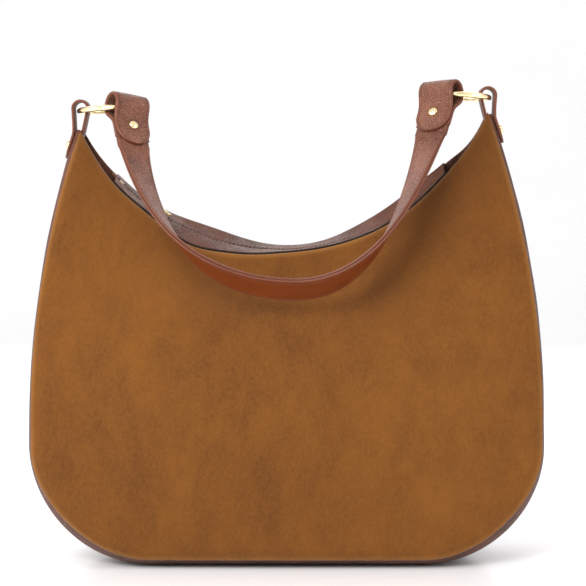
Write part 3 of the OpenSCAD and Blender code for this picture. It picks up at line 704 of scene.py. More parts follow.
def dense_ends(line, radius, step):
    """Even points, with more of them near both ends so that a round end is smooth."""
    lengths = lengths_along(line)
    total = lengths[-1]
    close = radius * (1 - np.cos(np.linspace(0, math.pi / 2, 14)))
    middle = np.linspace(radius, total - radius, max(2, int((total - 2 * radius) / step)))[1:-1]
    places = np.concatenate([close, middle, total - close[::-1]])
    return np.stack([np.interp(places, lengths, line[:, k]) for k in range(line.shape[1])], axis=1)


def make_loop(name, side, node):
    tip = tip_z[side]
    tip_x = float(side_x(tip))
    foot = tip - loop_stud_drop - 10 * MM
    lean = math.cos(math.asin((tip - loop_stud_drop - belly_z) / side_r))
    outside = (fit + loop_t / 2) / lean + 0.2 * MM
    inside = (gusset_t + fit + edge_rise + loop_t / 2) / lean + 0.2 * MM
    outer_leg = [(float(side_x(z)) + outside, z) for z in np.linspace(foot, tip - 2 * MM, 5)]
    eye_x, eye_z = tip_x - 2.6 * MM, tip + loop_rise[side]
    eye = [(eye_x + loop_bend * math.cos(a), eye_z + loop_bend * math.sin(a))
           for a in np.radians(np.linspace(-15, 210, 16))]
    inner_leg = [(float(side_x(z)) - inside, z) for z in np.linspace(tip - 3 * MM, foot, 5)]
    flat = rounded(np.array(outer_leg + eye + inner_leg), 2)
    line = dense_ends(np.stack([side * flat[:, 0], 0 * flat[:, 0], flat[:, 1]], axis=1), loop_half, 1.0 * MM)
    across = np.tile([0.0, float(side), 0.0], (len(line), 1))
    _, flat_across, out = run_normals(line, across)
    width = end_round(line, loop_half)
    made = strip(name, line, flat_across, out, width, -loop_t / 2, loop_t / 2,
                 [leather, edge_paint, leather])
    seat(made, "bag", "leather", node)
    keep = slice(8, -8)
    for k, word in ((-1, "front"), (1, "back")):
        inner = np.maximum(0, width - STITCH_IN)
        row = line + flat_across * (k * inner)[:, None] + out * (loop_t / 2 - 0.2 * MM)
        stitches(f"{name}_thread_{word}", row[keep], out[keep], "bag")


make_loop("left_gusset_loop", -1, "gusset_loop_left")
make_loop("right_gusset_loop", 1, "gusset_loop_right")

# ---------------------------------------------------------------------------------------------
# Rings, studs and their backs. Cast zinc, polished and plated pale gold; the studs are domes with
# a flat back on the leather's other side, screwed together through it.


def gold_paint(shade):
    haze = shade.noise(90.0, 3.0, 0.6)
    hairline = shade.noise(900.0, 2.0, 0.6, 0.0, (1.0, 1.0, 0.08))
    colour = haze.mix((0.86, 0.69, 0.37, 1), (0.95, 0.80, 0.50, 1))
    rough = 0.13 + 0.07 * haze + 0.06 * hairline
    return {"Base Color": colour, "Roughness": rough, "Normal": shade.bump(hairline, 0.00004, 0.3)}


gold = finish("gold", {"Metallic": 1.0}, gold_paint)


def frame_of(out):
    """Two directions square to this one and to each other."""
    w = Vector(out).normalized()
    u = w.orthogonal().normalized()
    return np.array(u), np.array(w.cross(u)), np.array(w)


def lathe(name, profile, centre, axis, materials, around=48):
    """Turns a profile of (radius, height) pairs about an axis; a radius of 0 closes the end."""
    u, v, w = frame_of(axis)
    turns = np.linspace(0, 2 * math.pi, around + 1)[:-1]
    points, faces = [], []
    for radius, height in profile:
        for a in turns:
            away = (u * math.cos(a) + v * math.sin(a)) * max(radius, 1e-6)
            points.append(np.asarray(centre) + away + w * height)
    for i in range(len(profile) - 1):
        for j in range(around):
            k = (j + 1) % around
            faces.append((i * around + j, i * around + k, (i + 1) * around + k, (i + 1) * around + j))
    return mesh_object(name, points, faces, materials)


ring_r = 26 * MM
wire_r = 2.25 * MM
for side_name, joint_name in (("left", "ring_left_turn"), ("right", "ring_right_turn")):
    joint = joints[joint_name]
    wire = [(ring_r + wire_r * math.cos(a), wire_r * math.sin(a)) for a in np.linspace(0, 2 * math.pi, 29)]
    ring = lathe(f"{side_name}_ring", wire, joint["pos_m"], joint["axis"], [gold], 144)
    seat(ring, f"ring_{side_name}", "gold", f"ring_{side_name}")

stud_r = 3.9 * MM
dome = [(0, -0.2 * MM), (stud_r - 0.5 * MM, -0.2 * MM), (stud_r - 0.1 * MM, 0), (stud_r, 0.35 * MM)]
dome += [(stud_r * math.cos(a), 0.7 * MM + 2 * MM * math.sin(a)) for a in np.radians(np.linspace(0, 90, 13))]
back_disc = [(0, 0), (stud_r - 0.6 * MM, 0), (stud_r - 0.25 * MM, 0.25 * MM), (stud_r - 0.2 * MM, 0.8 * MM),
             (stud_r - 0.5 * MM, 1.1 * MM), (1.9 * MM, 1.1 * MM), (1.7 * MM, 0.8 * MM), (0, 0.8 * MM)]


def place_stud(name, at, out, body, through, node, back_node):
    """A dome on the leather's face and its back on the other side, this far through."""
    front = lathe(f"{name}_dome", dome, at, out, [gold])
    back = lathe(f"{name}_back", back_disc, at - out * through, -out, [gold])
    for made, cad in ((front, node), (back, back_node)):
        seat(made, body, "gold", cad)


through_loop = gusset_t + edge_rise + 2 * loop_t + 2 * fit + 0.35 * MM
for side, side_name in ((-1, "left"), (1, "right")):
    z = tip_z[side] - loop_stud_drop
    lean = math.asin((z - belly_z) / side_r)
    out = np.array([side * math.cos(lean), 0, math.sin(lean)])
    at = np.array([side * float(side_x(z)), 0, z]) + out * (loop_t + fit + 0.25 * MM)
    place_stud(f"{side_name}_gusset_stud", at, out, "bag", through_loop, "gusset_studs",
               "gusset_stud_backs")

# ---------------------------------------------------------------------------------------------
# Strap. Two plies of leather sewn and edge-painted as one, pebbled outside and smooth inside; its
# thicker folded ends turn over the rings as round tabs, each closed by a stud.


def smooth_leather_paint(shade):
    """Calf without grain: fine pores, long soft streaks and a few lighter rub marks."""
    streak = shade.noise(70.0, 3.0, 0.55, 0.5, (0.35, 1.0, 1.0))
    pores = shade.node("ShaderNodeTexVoronoi", {}, {"Vector": shade.place(), "Scale": 2400.0})
    rub = shade.noise(28.0, 2.0).between(0.52, 0.72)
    colour = streak.mix((0.104, 0.0175, 0.0014, 1), (0.168, 0.034, 0.0034, 1))
    colour = (rub * 0.25).mix(colour, (0.225, 0.060, 0.011, 1))
    relief = shade.bump(pores, 0.00006, 0.35)
    return {"Base Color": colour, "Roughness": 0.44 + 0.14 * streak, "Normal": relief}


smooth_leather = finish("smooth_leather", {"Specular IOR Level": 0.20}, smooth_leather_paint)

ring_lift = math.radians(4)
ring_tilt = math.radians(1)
fold_angle = math.radians(57)
fold_reach = ring_r - 2.2 * MM
fold_drop = 0.5 * MM
tab_lean = math.radians(35)
tab_roll = {-1: -math.radians(9), 1: math.radians(4)}
fold_t = 3 * MM
fold_bend = 7.5 * MM + fold_t / 2
tab_len = 37 * MM
back_leg_len = 30 * MM
strap_stud_drop = 20 * MM
strap_half = 15 * MM
leg = fold_t / 2 + fit / 2
ply_t = 1.9 * MM
ply_gap = 0.1 * MM


def fold_way(side, v):
    """A fold's own directions, out of the tab's face, along the tunnel and up, as the bag's."""
    x = v[0] * math.cos(tab_lean) - v[2] * math.sin(tab_lean)
    up = v[0] * math.sin(tab_lean) + v[2] * math.cos(tab_lean)
    r = tab_roll[side]
    y = v[1] * math.cos(r) - up * math.sin(r)
    z = v[1] * math.sin(r) + up * math.cos(r)
    a = -fold_angle if side < 0 else fold_angle - math.pi
    return np.array([x * math.cos(a) - y * math.sin(a), x * math.sin(a) + y * math.cos(a), z])


def fold_place(side):
    """The middle of a fold: on its ring's wire, towards the front and the bag's middle."""
    ring_at = np.array(joints["ring_left_turn" if side < 0 else "ring_right_turn"]["pos_m"])
    inward = -side * fold_reach * math.cos(fold_angle)
    up = math.cos(fold_angle) * math.sin(ring_lift) + math.sin(fold_angle) * math.sin(ring_tilt)
    return ring_at + np.array([inward * math.cos(ring_lift), -fold_reach * math.sin(fold_angle),
                               fold_reach * up - fold_drop])


def make_fold(name, side, node):
    at = fold_place(side)
    outwards, along, up = (fold_way(side, v) for v in ((1, 0, 0), (0, 1, 0), (0, 0, 1)))
    eye = [(fold_bend * math.cos(a), fold_bend * math.sin(a)) for a in np.radians(np.linspace(-42, 222, 19))]
    flat = [(leg, -tab_len), (leg, -26 * MM), (leg, -14 * MM)] + eye
    flat += [(-leg, -14 * MM), (-leg, -22 * MM), (-leg, -back_leg_len)]
    flat = rounded(np.array(flat), 2)
    line = dense_ends(at + flat[:, :1] * outwards + flat[:, 1:] * up, strap_half, 1.2 * MM)
    across = np.tile(along, (len(line), 1))
    _, flat_across, out = run_normals(line, across)
    if np.dot(out[len(out) // 4], outwards) < 0:
        flat_across, out = -flat_across, -out
    width = end_round(line, strap_half, True, False)
    made = strip(name, line, flat_across, out, width, -fold_t / 2, fold_t / 2,
                 [leather, edge_paint, leather])
    seat(made, "strap", "leather", node)
    for k, word in ((-1, "outer"), (1, "inner")):
        inner = np.maximum(0, width - STITCH_IN)
        row = line + flat_across * (k * inner)[:, None] + out * (fold_t / 2 - 0.25 * MM)
        stitches(f"{name}_thread_{word}", row[6:-4], out[6:-4], "strap")
    stud_at = at - up * strap_stud_drop + outwards * (leg + fold_t / 2 + 0.15 * MM)
    place_stud(f"{name}_stud", stud_at, outwards, "strap", 2 * leg + fold_t + 0.3 * MM, "strap_studs",
               "strap_stud_backs")


make_fold("left_strap_tab", -1, "strap_end_left")
make_fold("right_strap_tab", 1, "strap_end_right")

run_back = leg - fold_t / 2 + ply_t + 0.15 * MM
run_straight = 8 * MM
strap_low = np.array([strap_middle_x, -base_depth - 17 * MM, 217.5 * MM])
strap_lean = math.radians(36)
strap_fall = {-1: 0.79, 1: 0.55}
strap_flat = {-1: 48 * MM, 1: 54 * MM}
run_half = strap_half - 1.5 * MM
TWIST = 0.46


def run_side(side):
    """Half of the strap's middle line, from its fold to its lowest stretch, and the way across it."""
    start = fold_place(side) + fold_way(side, (-run_back, 0, -back_leg_len - fit))
    down = fold_way(side, (0, 0, -1))
    a = start + down * run_straight
    b = a + down * strap_fall[side] * (strap_low[2] - a[2]) / down[2]
    c = strap_low + np.array([side * strap_flat[side], 0, 0])
    t = np.linspace(0, 1, 100)[:, None] ** 1.25
    line = (1 - t) ** 3 * a + 3 * (1 - t) ** 2 * t * b + 3 * (1 - t) * t**2 * c + t**3 * strap_low
    turned = np.maximum(t, 1e-9) ** TWIST
    lean = np.array([0, -math.cos(strap_lean), math.sin(strap_lean)])
    across = fold_way(side, (0, side, 0)) * (1 - turned) + lean * turned
    straight = start + (a - start) * np.linspace(0, 1, 8)[:-1, None]
    return np.concatenate([straight, line]), np.concatenate([np.tile(across[0], (7, 1)), across])


left_line, left_across = run_side(-1)
right_line, right_across = run_side(1)
strap_line = np.concatenate([left_line, right_line[-2::-1]])
strap_across = np.concatenate([left_across, right_across[-2::-1]])
_, strap_across, strap_out = run_normals(strap_line, strap_across)
strap_out = -strap_out if np.dot(strap_out[0], fold_way(-1, (1, 0, 0))) < 0 else strap_out
run_width = np.full(len(strap_line), run_half)
outer_ply = strip("strap_outer_ply", strap_line, strap_across, strap_out, run_width, ply_gap - 0.1 * MM,
                  ply_gap + ply_t, [leather, edge_paint, edge_paint])
seat(outer_ply, "strap", "leather", "strap_outer")
inner_ply = strip("strap_inner_ply", strap_line, strap_across, -strap_out, run_width, ply_gap - 0.1 * MM,
                  ply_gap + ply_t, [smooth_leather, edge_paint, edge_paint])
seat(inner_ply, "strap", "leather_inside", "strap_lining")
for k, word in ((-1, "back"), (1, "front")):
    for flip, face in ((1, "outer"), (-1, "inner")):
        row = strap_line + strap_across * (k * (run_half - STITCH_IN))
        row = row + strap_out * flip * (ply_t - 0.15 * MM)
        stitches(f"strap_{face}_thread_{word}", row[12:-12], strap_out[12:-12] * flip, "strap")

# ---------------------------------------------------------------------------------------------
# Facings and linings. A band of smooth leather is sewn inside each mouth edge; under it hangs a
# tan cotton twill lining, one cloth to each wall and one strip along the gusset.


def twill_paint(shade):
    """Cotton twill: fine diagonal ribs crossed by the weft, a little uneven where it was pressed."""
    ribs = shade.node("ShaderNodeTexWave", {"bands_direction": "DIAGONAL"},
                      {"Vector": shade.place(), "Scale": 420.0, "Distortion": 1.2, "Detail": 1.0})
    weft = shade.node("ShaderNodeTexWave", {"bands_direction": "Z"},
                      {"Vector": shade.place(), "Scale": 560.0, "Distortion": 1.0, "Detail": 1.0})
    weave = ribs * 0.7 + weft * 0.3
    creased = shade.noise(26.0, 3.0, 0.6, 0.8)
    tone = weave * 0.55 + creased * 0.45
    colour = tone.mix((0.135, 0.080, 0.042, 1), (0.290, 0.190, 0.110, 1))
    coarse = shade.bump(creased, 0.0012, 0.4)
    relief = shade.bump(weave, 0.0002, 0.6, coarse)
    return {"Base Color": colour, "Roughness": 0.80 + 0.14 * weave, "Normal": relief}


twill = finish("twill", {"Specular IOR Level": 0.22, "Sheen Weight": 0.12}, twill_paint)
facing_in = 2.5 * fit
facing_t = 1.6 * MM
lining_in = 4 * fit
lining_t = 1.2 * MM
pocket_in = lining_in + lining_t + fit
facing_depth = 30 * MM


def inner_grid(side, xs, low, high, rows, depth, slack=0.0):
    """Places inside a panel, this deep behind its soft inner skin; slack lets the middle hang free."""
    part = np.linspace(0, 1, rows)
    x = np.repeat(xs[:, None], rows, axis=1)
    z = low[:, None] + (high - low)[:, None] * part[None]
    loose = slack * np.sin(np.pi * part)[None] ** 1.5 * (1 - np.linspace(-1, 1, len(xs))[:, None] ** 4)
    y = panel_y(x, z) + np.minimum(0, soft_give(side, x, z)) - depth - loose
    return np.stack([x, side * y, z + hang(side, x, z)], axis=-1)


def inner_piece(name, side, xs, low, high, rows, depth, thick, materials, node, slot, slack=0.0):
    near = inner_grid(side, xs, low, high, rows, depth, slack)
    far = inner_grid(side, xs, low, high, rows, depth + thick, slack)
    made = closed_sheet(name, far, near, materials, len(materials) - 1)
    seat(made, "bag", slot, node)
    return made, far


def declare_cloth(grid):
    """Works out the areas of the grid's cells from its corners, and keeps none of them."""
    a, b, c, d = grid[:-1, :-1], grid[1:, :-1], grid[1:, 1:], grid[:-1, 1:]
    halves = np.linalg.norm(np.cross(b - a, c - a), axis=2) + np.linalg.norm(np.cross(c - a, d - a), axis=2)


facing_half = float(in_x(tip_z[-1] - 6 * MM, 2.2 * MM))
facing_xs = np.linspace(-facing_half, facing_half, 120)
facing_top = high_edge(facing_xs, 2.2 * MM) - 0.2 * MM
lining_half = float(in_x(belly_z, 5 * MM)) - 1 * MM
lining_xs = -lining_half * np.cos(np.linspace(0, np.pi, 110))
for side, word in ((-1, "front"), (1, "back")):
    # The facings take the darker copy of the leather: painted shade.
    facing, _ = inner_piece(f"{word}_mouth_facing", side, facing_xs, facing_top - facing_depth,
                            facing_top, 12, facing_in, facing_t, [painted_shade_leather, edge_paint],
                            f"{word}_facing", "leather_inside")
    low, high = low_edge(lining_xs, 5 * MM), high_edge(lining_xs, 5 * MM, 31.5 * MM)
    cloth, cut = inner_piece(f"{word}_wall_lining", side, lining_xs, low, high, 70, lining_in, lining_t,
                             [twill], f"{word}_lining", "cloth")
    declare_cloth(cut)

lining_drop = gusset_t + fit + 0.15 * MM
keep = slice(3, -3)
lining_shift = crown_outs[keep, None] * (shift[keep] - lining_drop)[..., None]
lining_outer = crown_places[keep, None] + lining_shift
lining_outer[..., 1] = gusset_v[None] * (edge_depth[keep, None] - 6 * MM)
lining_inner = lining_outer - crown_outs[keep, None] * lining_t
gusset_cloth = closed_sheet("gusset_strip_lining", lining_outer, lining_inner, [twill])
seat(gusset_cloth, "bag", "cloth", "gusset_lining")
declare_cloth(lining_outer)

# ---------------------------------------------------------------------------------------------
# Base board. A die-cut slab of stiff fibreboard that lies on the lining and keeps the base flat.


def board_paint(shade):
    fibre = shade.noise(300.0, 4.0, 0.7, 0.0, (0.3, 1.0, 1.0))
    cloudy = shade.noise(40.0, 2.0)
    tone = fibre * 0.6 + cloudy * 0.4
    colour = tone.mix((0.060, 0.044, 0.030, 1), (0.130, 0.100, 0.072, 1))
    return {"Base Color": colour, "Roughness": 0.75 + 0.2 * fibre, "Normal": shade.bump(fibre, 0.0002, 0.5)}


board = finish("board", {"Specular IOR Level": 0.3}, board_paint)


def round_rect(length, width, radius, per_corner=7):
    """A rectangle's outline with round corners, centred, as (x, y) places."""
    outline = []
    for sx, sy, start in ((1, 1, 0), (-1, 1, 90), (-1, -1, 180), (1, -1, 270)):
        for a in np.radians(np.linspace(start, start + 90, per_corner)):
            outline.append((sx * (length / 2 - radius) + radius * math.cos(a),
                            sy * (width / 2 - radius) + radius * math.sin(a)))
    return np.array(outline)


def slab(name, outline, low, high, bevel, placed, materials):
    """A flat piece cut to an outline, its edges eased; placed turns (x, y, z) rows into the bag's."""
    middle = outline.mean(axis=0)
    reach = np.linalg.norm(outline - middle, axis=1)[:, None]
    steps = [(1.0, low), (0.3, low + 0.3 * bevel), (0.0, low + bevel), (0.0, high - bevel),
             (0.3, high - 0.3 * bevel), (1.0, high)]
    rings = []
    for inset, height in steps:
        ring = middle + (outline - middle) * (1 - inset * bevel / reach)
        rings.append(placed(np.column_stack([ring, np.full(len(ring), height)])))
    return skin(name, np.array(rings), materials, [0] * len(outline))


board_low, board_high = (np.array(corner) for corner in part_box("base_board"))
board_middle = (board_low + board_high) / 2
board_size = board_high - board_low
board_slab = slab("base_board_slab", round_rect(board_size[0], board_size[1], 9 * MM), -board_size[2] / 2,
                  board_size[2] / 2, 0.4 * MM, lambda p: p + board_middle, [board])
seat(board_slab, "bag", "board", "base_board")

# ---------------------------------------------------------------------------------------------
# Mouth zip. Two leather strips reach from the facings to a metal zip on woven tape; the strips
# follow the sagging mouth edges on their outer sides, and lie straight beside the chain.


def tape_paint(shade):
    """Woven zip tape: a close herringbone, nearly black brown."""
    warp = shade.node("ShaderNodeTexWave", {"bands_direction": "Y"},
                      {"Vector": shade.place(), "Scale": 330.0, "Distortion": 0.6})
    weft = shade.node("ShaderNodeTexWave", {"bands_direction": "X"},
                      {"Vector": shade.place(), "Scale": 330.0, "Distortion": 0.6})
    weave = warp * weft
    colour = weave.mix((0.016, 0.009, 0.006, 1), (0.052, 0.032, 0.021, 1))
    return {"Base Color": colour, "Roughness": 0.72 + 0.2 * weave, "Normal": shade.bump(weave, 0.0002, 0.7)}


def chain_paint(shade):
    wear_and_painted_shade = shade.noise(500.0, 3.0, 0.6)
    colour = wear_and_painted_shade.mix((0.52, 0.38, 0.17, 1), (0.83, 0.66, 0.37, 1))
    relief = shade.bump(wear_and_painted_shade, 0.0001, 0.4)
    return {"Base Color": colour, "Roughness": 0.24 + 0.16 * wear_and_painted_shade, "Normal": relief}


tape_weave_and_gap_shade = finish("tape_weave_and_gap_shade", {"Specular IOR Level": 0.25}, tape_paint)
chain_brass = finish("chain_brass", {"Metallic": 1.0}, chain_paint)
zip_r = mouth_r - facing_t
strip_in = 4.9 * MM
tape_r = zip_r + facing_t + fit
teeth_r = tape_r - 0.1 * MM
zip_half = math.radians(48)
tape_half = math.radians(47)
chain_half = math.radians(45)
tooth_pitch = 2.8 * MM


def mouth_out(beta):
    """How far from the middle the facing stands at this angle round the mouth."""
    wall = panel_y(mouth_x + mouth_r * np.sin(beta), mouth_c - mouth_r * np.cos(beta))
    return wall - facing_in - facing_t - fit


def on_zip(side, beta, y, radius):
    """Places on the zip panel, y away from the chain's middle; the outer parts hang with the edges."""
    beta, y = np.broadcast_arrays(beta, y)
    x = mouth_x + mouth_r * np.sin(beta)
    outer = np.clip((y - strip_in) / (mouth_out(beta) - strip_in), 0, 1)
    sag = edge_shift(side, x) * outer**1.3
    lean = np.minimum(0, soft_give(side, x, mouth_c - mouth_r * np.cos(beta))) * outer
    z = mouth_c - radius * np.cos(beta) + sag
    return np.stack([mouth_x + radius * np.sin(beta), side * (y + lean), z], axis=-1)


def zip_sheet(name, side, half, y0, y1, columns, top, thick, materials, node, slot):
    beta = np.linspace(-half, half, 150)[:, None]
    part = np.linspace(0, 1, columns)[None]
    y = y0 + (y1(beta) - y0) * part
    wave = 0.35 * MM * np.sin(beta * 41) * np.sin(np.pi * part)
    made = closed_sheet(name, on_zip(side, beta, y, top + wave), on_zip(side, beta, y, top + thick + wave),
                        materials, len(materials) - 1)
    seat(made, "bag", slot, node)


def row_of(name, frames, sections, around, square, materials):
    """One small lofted shape, repeated: frames are (place, lengthwise, sideways, up), and sections
    (lengthwise, half width, half height, rise)."""
    turns = np.linspace(0, 2 * math.pi, around + 1)[:-1] + math.pi / around
    ring = [tuple(abs(way(a)) ** square * np.sign(way(a)) for way in (math.cos, math.sin)) for a in turns]
    points, faces = [], []
    last = around * (len(sections) - 1)
    for place, ahead, side, up in frames:
        first = len(points)
        for along, wide, tall, rise_by in sections:
            points += [place + ahead * along + side * wide * c + up * (rise_by + tall * s) for c, s in ring]
        for i in range(len(sections) - 1):
            for j in range(around):
                a, b = first + around * i + j, first + around * i + (j + 1) % around
                faces.append((a, b, b + around, a + around))
        faces.append(tuple(first + j for j in range(around))[::-1])
        faces.append(tuple(first + last + j for j in range(around)))
    return mesh_object(name, points, faces, materials)


def on_chain(beta, y=0.0, radius=teeth_r):
    """A frame on the zip's arc: its place, then along the chain, across it and up."""
    s, c = math.sin(beta), math.cos(beta)
    place = np.array([mouth_x + radius * s, y, mouth_c - radius * c])
    return place, np.array([c, 0, s]), np.array([0, 1.0, 0]), np.array([-s, 0, c])


for side, word in ((-1, "front"), (1, "back")):
    # The strips take the darker copy of the leather, and their edges the near-black tape finish: painted
    # shade that draws the dark gap between the strips.
    zip_sheet(f"{word}_zip_strip", side, zip_half, strip_in, mouth_out, 16, zip_r, facing_t,
              [painted_shade_leather, tape_weave_and_gap_shade], f"zip_strip_{word}", "leather")
    zip_sheet(f"{word}_zip_tape", side, tape_half, 1.0 * MM, lambda beta: strip_in + 6 * MM, 10,
              tape_r, 0.6 * MM, [tape_weave_and_gap_shade], f"zip_tape_{word}", "zip_tape")
    betas = np.linspace(-zip_half + 0.02, zip_half - 0.02, 300)
    seam = on_zip(side, betas, np.full(300, strip_in + 2.2 * MM), zip_r - 0.15 * MM)
    ups = np.stack([-np.sin(betas), 0 * betas, np.cos(betas)], axis=1)
    stitches(f"{word}_zip_thread", seam, ups, "bag", radius=0.22 * MM)
    pitch = tooth_pitch / teeth_r
    first_tooth = -chain_half + (pitch / 2 if side > 0 else 0)
    frames = []
    for beta in np.arange(first_tooth, chain_half, pitch):
        place, ahead, across, up = on_chain(beta, 0, teeth_r - 0.75 * MM)
        frames.append((place, across * side, ahead, up))
    tooth = [(0.42 * MM, 0.30 * MM, 0.45 * MM, 0), (0.55 * MM, 0.55 * MM, 0.65 * MM, 0),
             (1.1 * MM, 0.60 * MM, 0.70 * MM, 0), (1.6 * MM, 0.42 * MM, 0.72 * MM, 0),
             (2.5 * MM, 0.62 * MM, 0.75 * MM, 0), (2.7 * MM, 0.50 * MM, 0.60 * MM, 0)]
    teeth = row_of(f"{word}_zip_chain", frames, tooth, 8, 0.55, [chain_brass])
    seat(teeth, "bag", "zip_metal", f"zip_teeth_{word}")

block = [(-2.1 * MM, 1.0 * MM, 0.7 * MM, 0), (-1.9 * MM, 1.25 * MM, 0.95 * MM, 0),
         (1.9 * MM, 1.25 * MM, 0.95 * MM, 0), (2.1 * MM, 1.0 * MM, 0.7 * MM, 0)]
stops = [on_chain(s * math.radians(45.9), y * 1.85 * MM, teeth_r - 1 * MM) for s in (-1, 1) for y in (-1, 1)]
seat(row_of("zip_stop_blocks", stops, block, 12, 0.45, [chain_brass]), "bag", "zip_metal", "zip_stops")
cover = [(-2.4 * MM, 4.0 * MM, 0.7 * MM, 0), (-2.1 * MM, 4.5 * MM, 1.1 * MM, 0),
         (-0.9 * MM, 4.6 * MM, 1.2 * MM, 0), (0.9 * MM, 4.6 * MM, 1.2 * MM, 0),
         (2.1 * MM, 4.5 * MM, 1.1 * MM, 0), (2.4 * MM, 4.0 * MM, 0.7 * MM, 0)]
covers = [on_chain(s * math.radians(48.4), 0, zip_r + 0.4 * MM) for s in (-1, 1)]
seat(row_of("zip_end_covers", covers, cover, 20, 0.4, [leather]), "bag", "leather", "zip_end_tabs")

# ---------------------------------------------------------------------------------------------
# Sliders and pulls. Die-cast, plated like the rings: two plates joined by a web, two ears with a
# pin between them, and a flat tab that swings on the pin.

slider_l = 11 * MM
slider_w = 8.4 * MM
plate_t = 1.3 * MM
pin_rise = 2.6 * MM
pin_r = 0.8 * MM


def placed_on(frame):
    origin, ahead, across, up = frame
    return lambda p: origin + p[:, :1] * ahead + p[:, 1:2] * across + p[:, 2:] * up


def make_slider(name, frame, body, node, length, width, pin_x):
    """The upper plate with its two ears and the pin through them; the frame's up leaves the chain."""
    origin, ahead, across, up = frame
    plate = round_rect(length, width, 2 * MM)
    made = [slab(f"{name}_plate", plate, 0, plate_t, 0.35 * MM, placed_on(frame), [gold])]
    for y, word in ((-1, "front"), (1, "back")):
        ear = round_rect(3 * MM, pin_rise + pin_r + 0.8 * MM, 1.1 * MM)
        at = origin + ahead * pin_x + across * (y * 2.6 * MM) + up * (plate_t + 1.6 * MM)
        turned = placed_on((at, ahead, up, -across))
        made.append(slab(f"{name}_{word}_ear", ear, -0.6 * MM, 0.6 * MM, 0.2 * MM, turned, [gold]))
    pin_at = origin + ahead * pin_x + up * (plate_t - 0.1 * MM + pin_rise)
    pin = [(0, -2.6 * MM), (pin_r, -2.6 * MM), (pin_r, 2.6 * MM), (0, 2.6 * MM)]
    made.append(lathe(f"{name}_pin", pin, pin_at, across, [gold], 20))
    for piece in made:
        seat(piece, body, "gold", node)
    return pin_at


def make_pull(name, frame, pin_at, body, node, length):
    """An eye round the pin, a neck and a flat tab with a raised middle."""
    _, ahead, across, up = frame
    eye = [(pin_r + 0.25 * MM, -1.4 * MM), (pin_r + 0.45 * MM, -1.6 * MM), (pin_r + 0.9 * MM, -1.6 * MM),
           (pin_r + 1.1 * MM, -1.4 * MM), (pin_r + 1.1 * MM, 1.4 * MM), (pin_r + 0.9 * MM, 1.6 * MM),
           (pin_r + 0.45 * MM, 1.6 * MM), (pin_r + 0.25 * MM, 1.4 * MM), (pin_r + 0.25 * MM, -1.4 * MM)]
    neck = round_rect(5 * MM, 3.2 * MM, 0.5 * MM) + np.array([3.9 * MM, 0])
    tab = round_rect(length - 5 * MM, 6 * MM, 2.4 * MM)
    tab[:, 1] *= 1 - 0.12 * tab[:, 0] / length * 2
    tab = tab + np.array([5 * MM + (length - 5 * MM) / 2, 0])
    inlay = round_rect(length - 9 * MM, 3 * MM, 1.4 * MM) + np.array([5 * MM + (length - 5 * MM) / 2, 0])
    on_pin = placed_on((pin_at, ahead, across, up))
    made = [lathe(f"{name}_eye", eye, pin_at, across, [gold], 28)]
    made.append(slab(f"{name}_neck", neck, -0.7 * MM, 0.7 * MM, 0.25 * MM, on_pin, [gold]))
    made.append(slab(f"{name}_tab", tab, -0.7 * MM, 0.7 * MM, 0.35 * MM, on_pin, [gold]))
    made.append(slab(f"{name}_inlay", inlay, -0.85 * MM, 0.85 * MM, 0.25 * MM, on_pin, [gold]))
    for piece in made:
        seat(piece, body, "gold", node)


rest_beta = math.radians(-36)
top_frame = on_chain(rest_beta, 0, teeth_r - 1.85 * MM)
pin_at = make_slider("mouth_slider", top_frame, "zip_slider", "zip_slider", slider_l, slider_w,
                     -slider_l / 2 + 3.5 * MM)
make_pull("mouth_pull", top_frame, pin_at, "zip_pull", "zip_pull", 19 * MM)
under_frame = on_chain(rest_beta, 0, tape_r + 0.95 * MM + plate_t)
under_plate = round_rect(slider_l - 1 * MM, slider_w, 2 * MM)
under = slab("mouth_slider_under_plate", under_plate, 0, plate_t, 0.35 * MM, placed_on(under_frame), [gold])
web_size = round_rect(0.5 * slider_l, 0.7 * MM, 0.3 * MM)
web = slab("mouth_slider_web", web_size, 0, 3.9 * MM, 0.1 * MM,
           placed_on(on_chain(rest_beta, 0, tape_r + 1.05 * MM)), [gold])
for piece in (under, web):
    seat(piece, "zip_slider", "gold", "zip_slider")

# ---------------------------------------------------------------------------------------------
# Inside pockets. A slip pocket hangs on the front wall; the back wall has a patch pocket that
# closes with its own short zip.

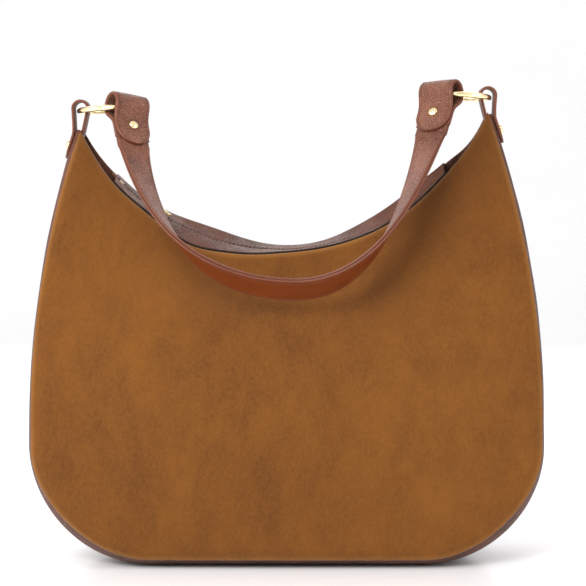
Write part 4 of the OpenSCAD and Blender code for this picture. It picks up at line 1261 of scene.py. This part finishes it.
pocket_half = 70 * MM
slip_depth = 85 * MM
patch_drop = 100 * MM
tape_reach = 7.4 * MM
pocket_zip_z = 188 * MM
slip_top_z = 172 * MM
pocket_xs = np.linspace(-pocket_half, pocket_half, 80)
flat_row = np.ones(len(pocket_xs))
slip, slip_cut = inner_piece("slip_pocket_cloth", -1, pocket_xs, flat_row * (slip_top_z - slip_depth),
                             flat_row * slip_top_z, 40, pocket_in, lining_t, [twill],
                             "slip_pocket", "cloth", 3 * MM)
declare_cloth(slip_cut)
patch, patch_cut = inner_piece("zip_pocket_cloth", 1, pocket_xs, flat_row * (pocket_zip_z - patch_drop),
                               flat_row * (pocket_zip_z - tape_reach), 44, pocket_in, lining_t, [twill],
                               "zip_pocket_front", "cloth", 2 * MM)
declare_cloth(patch_cut)
for word, low, high in (("lower", -7, -0.8), ("upper", 0.8, 7)):
    inner_piece(f"pocket_{word}_tape", 1, pocket_xs, flat_row * (pocket_zip_z + low * MM),
                flat_row * (pocket_zip_z + high * MM), 6, pocket_in, 0.6 * MM, [tape_weave_and_gap_shade],
                "zip_pocket_tapes", "zip_tape")
pocket_tooth_in = pocket_in + 0.7 * MM
chain_low = -pocket_half + 5 * MM
at_zip = np.array([pocket_zip_z])
pocket_frames = []
for row, way in enumerate((-1, 1)):
    for x in np.arange(chain_low + row * tooth_pitch / 2, -chain_low, tooth_pitch):
        spot = inner_grid(1, np.array([x]), at_zip, at_zip, 1, pocket_tooth_in + 0.65 * MM)
        y = float(spot[0, 0, 1])
        frame = (np.array([x, y, pocket_zip_z]), np.array([0, 0, way * 1.0]), np.array([1.0, 0, 0]))
        pocket_frames.append((*frame, np.array([0, -1.0, 0])))
small_tooth = [(along, wide, 0.62 * tall / 0.75, lift) for along, wide, tall, lift in tooth]
pocket_chain = row_of("pocket_zip_chain", pocket_frames, small_tooth, 8, 0.55, [chain_brass])
seat(pocket_chain, "bag", "zip_metal", "zip_pocket_teeth")
slider_y = float(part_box("pocket_slider")[1][1])
pocket_frame = (np.array([-pocket_half + 16 * MM, slider_y, pocket_zip_z]), np.array([1.0, 0, 0]),
                np.array([0, 0, 1.0]), np.array([0, -1.0, 0]))
pin_at = make_slider("pocket_zip_slider", pocket_frame, "pocket_slider", "pocket_slider", slider_l - 2 * MM,
                     slider_w - 1 * MM, -slider_l / 2 + 4.5 * MM)
make_pull("pocket_zip_pull", pocket_frame, pin_at, "pocket_pull", "pocket_pull", 16 * MM)
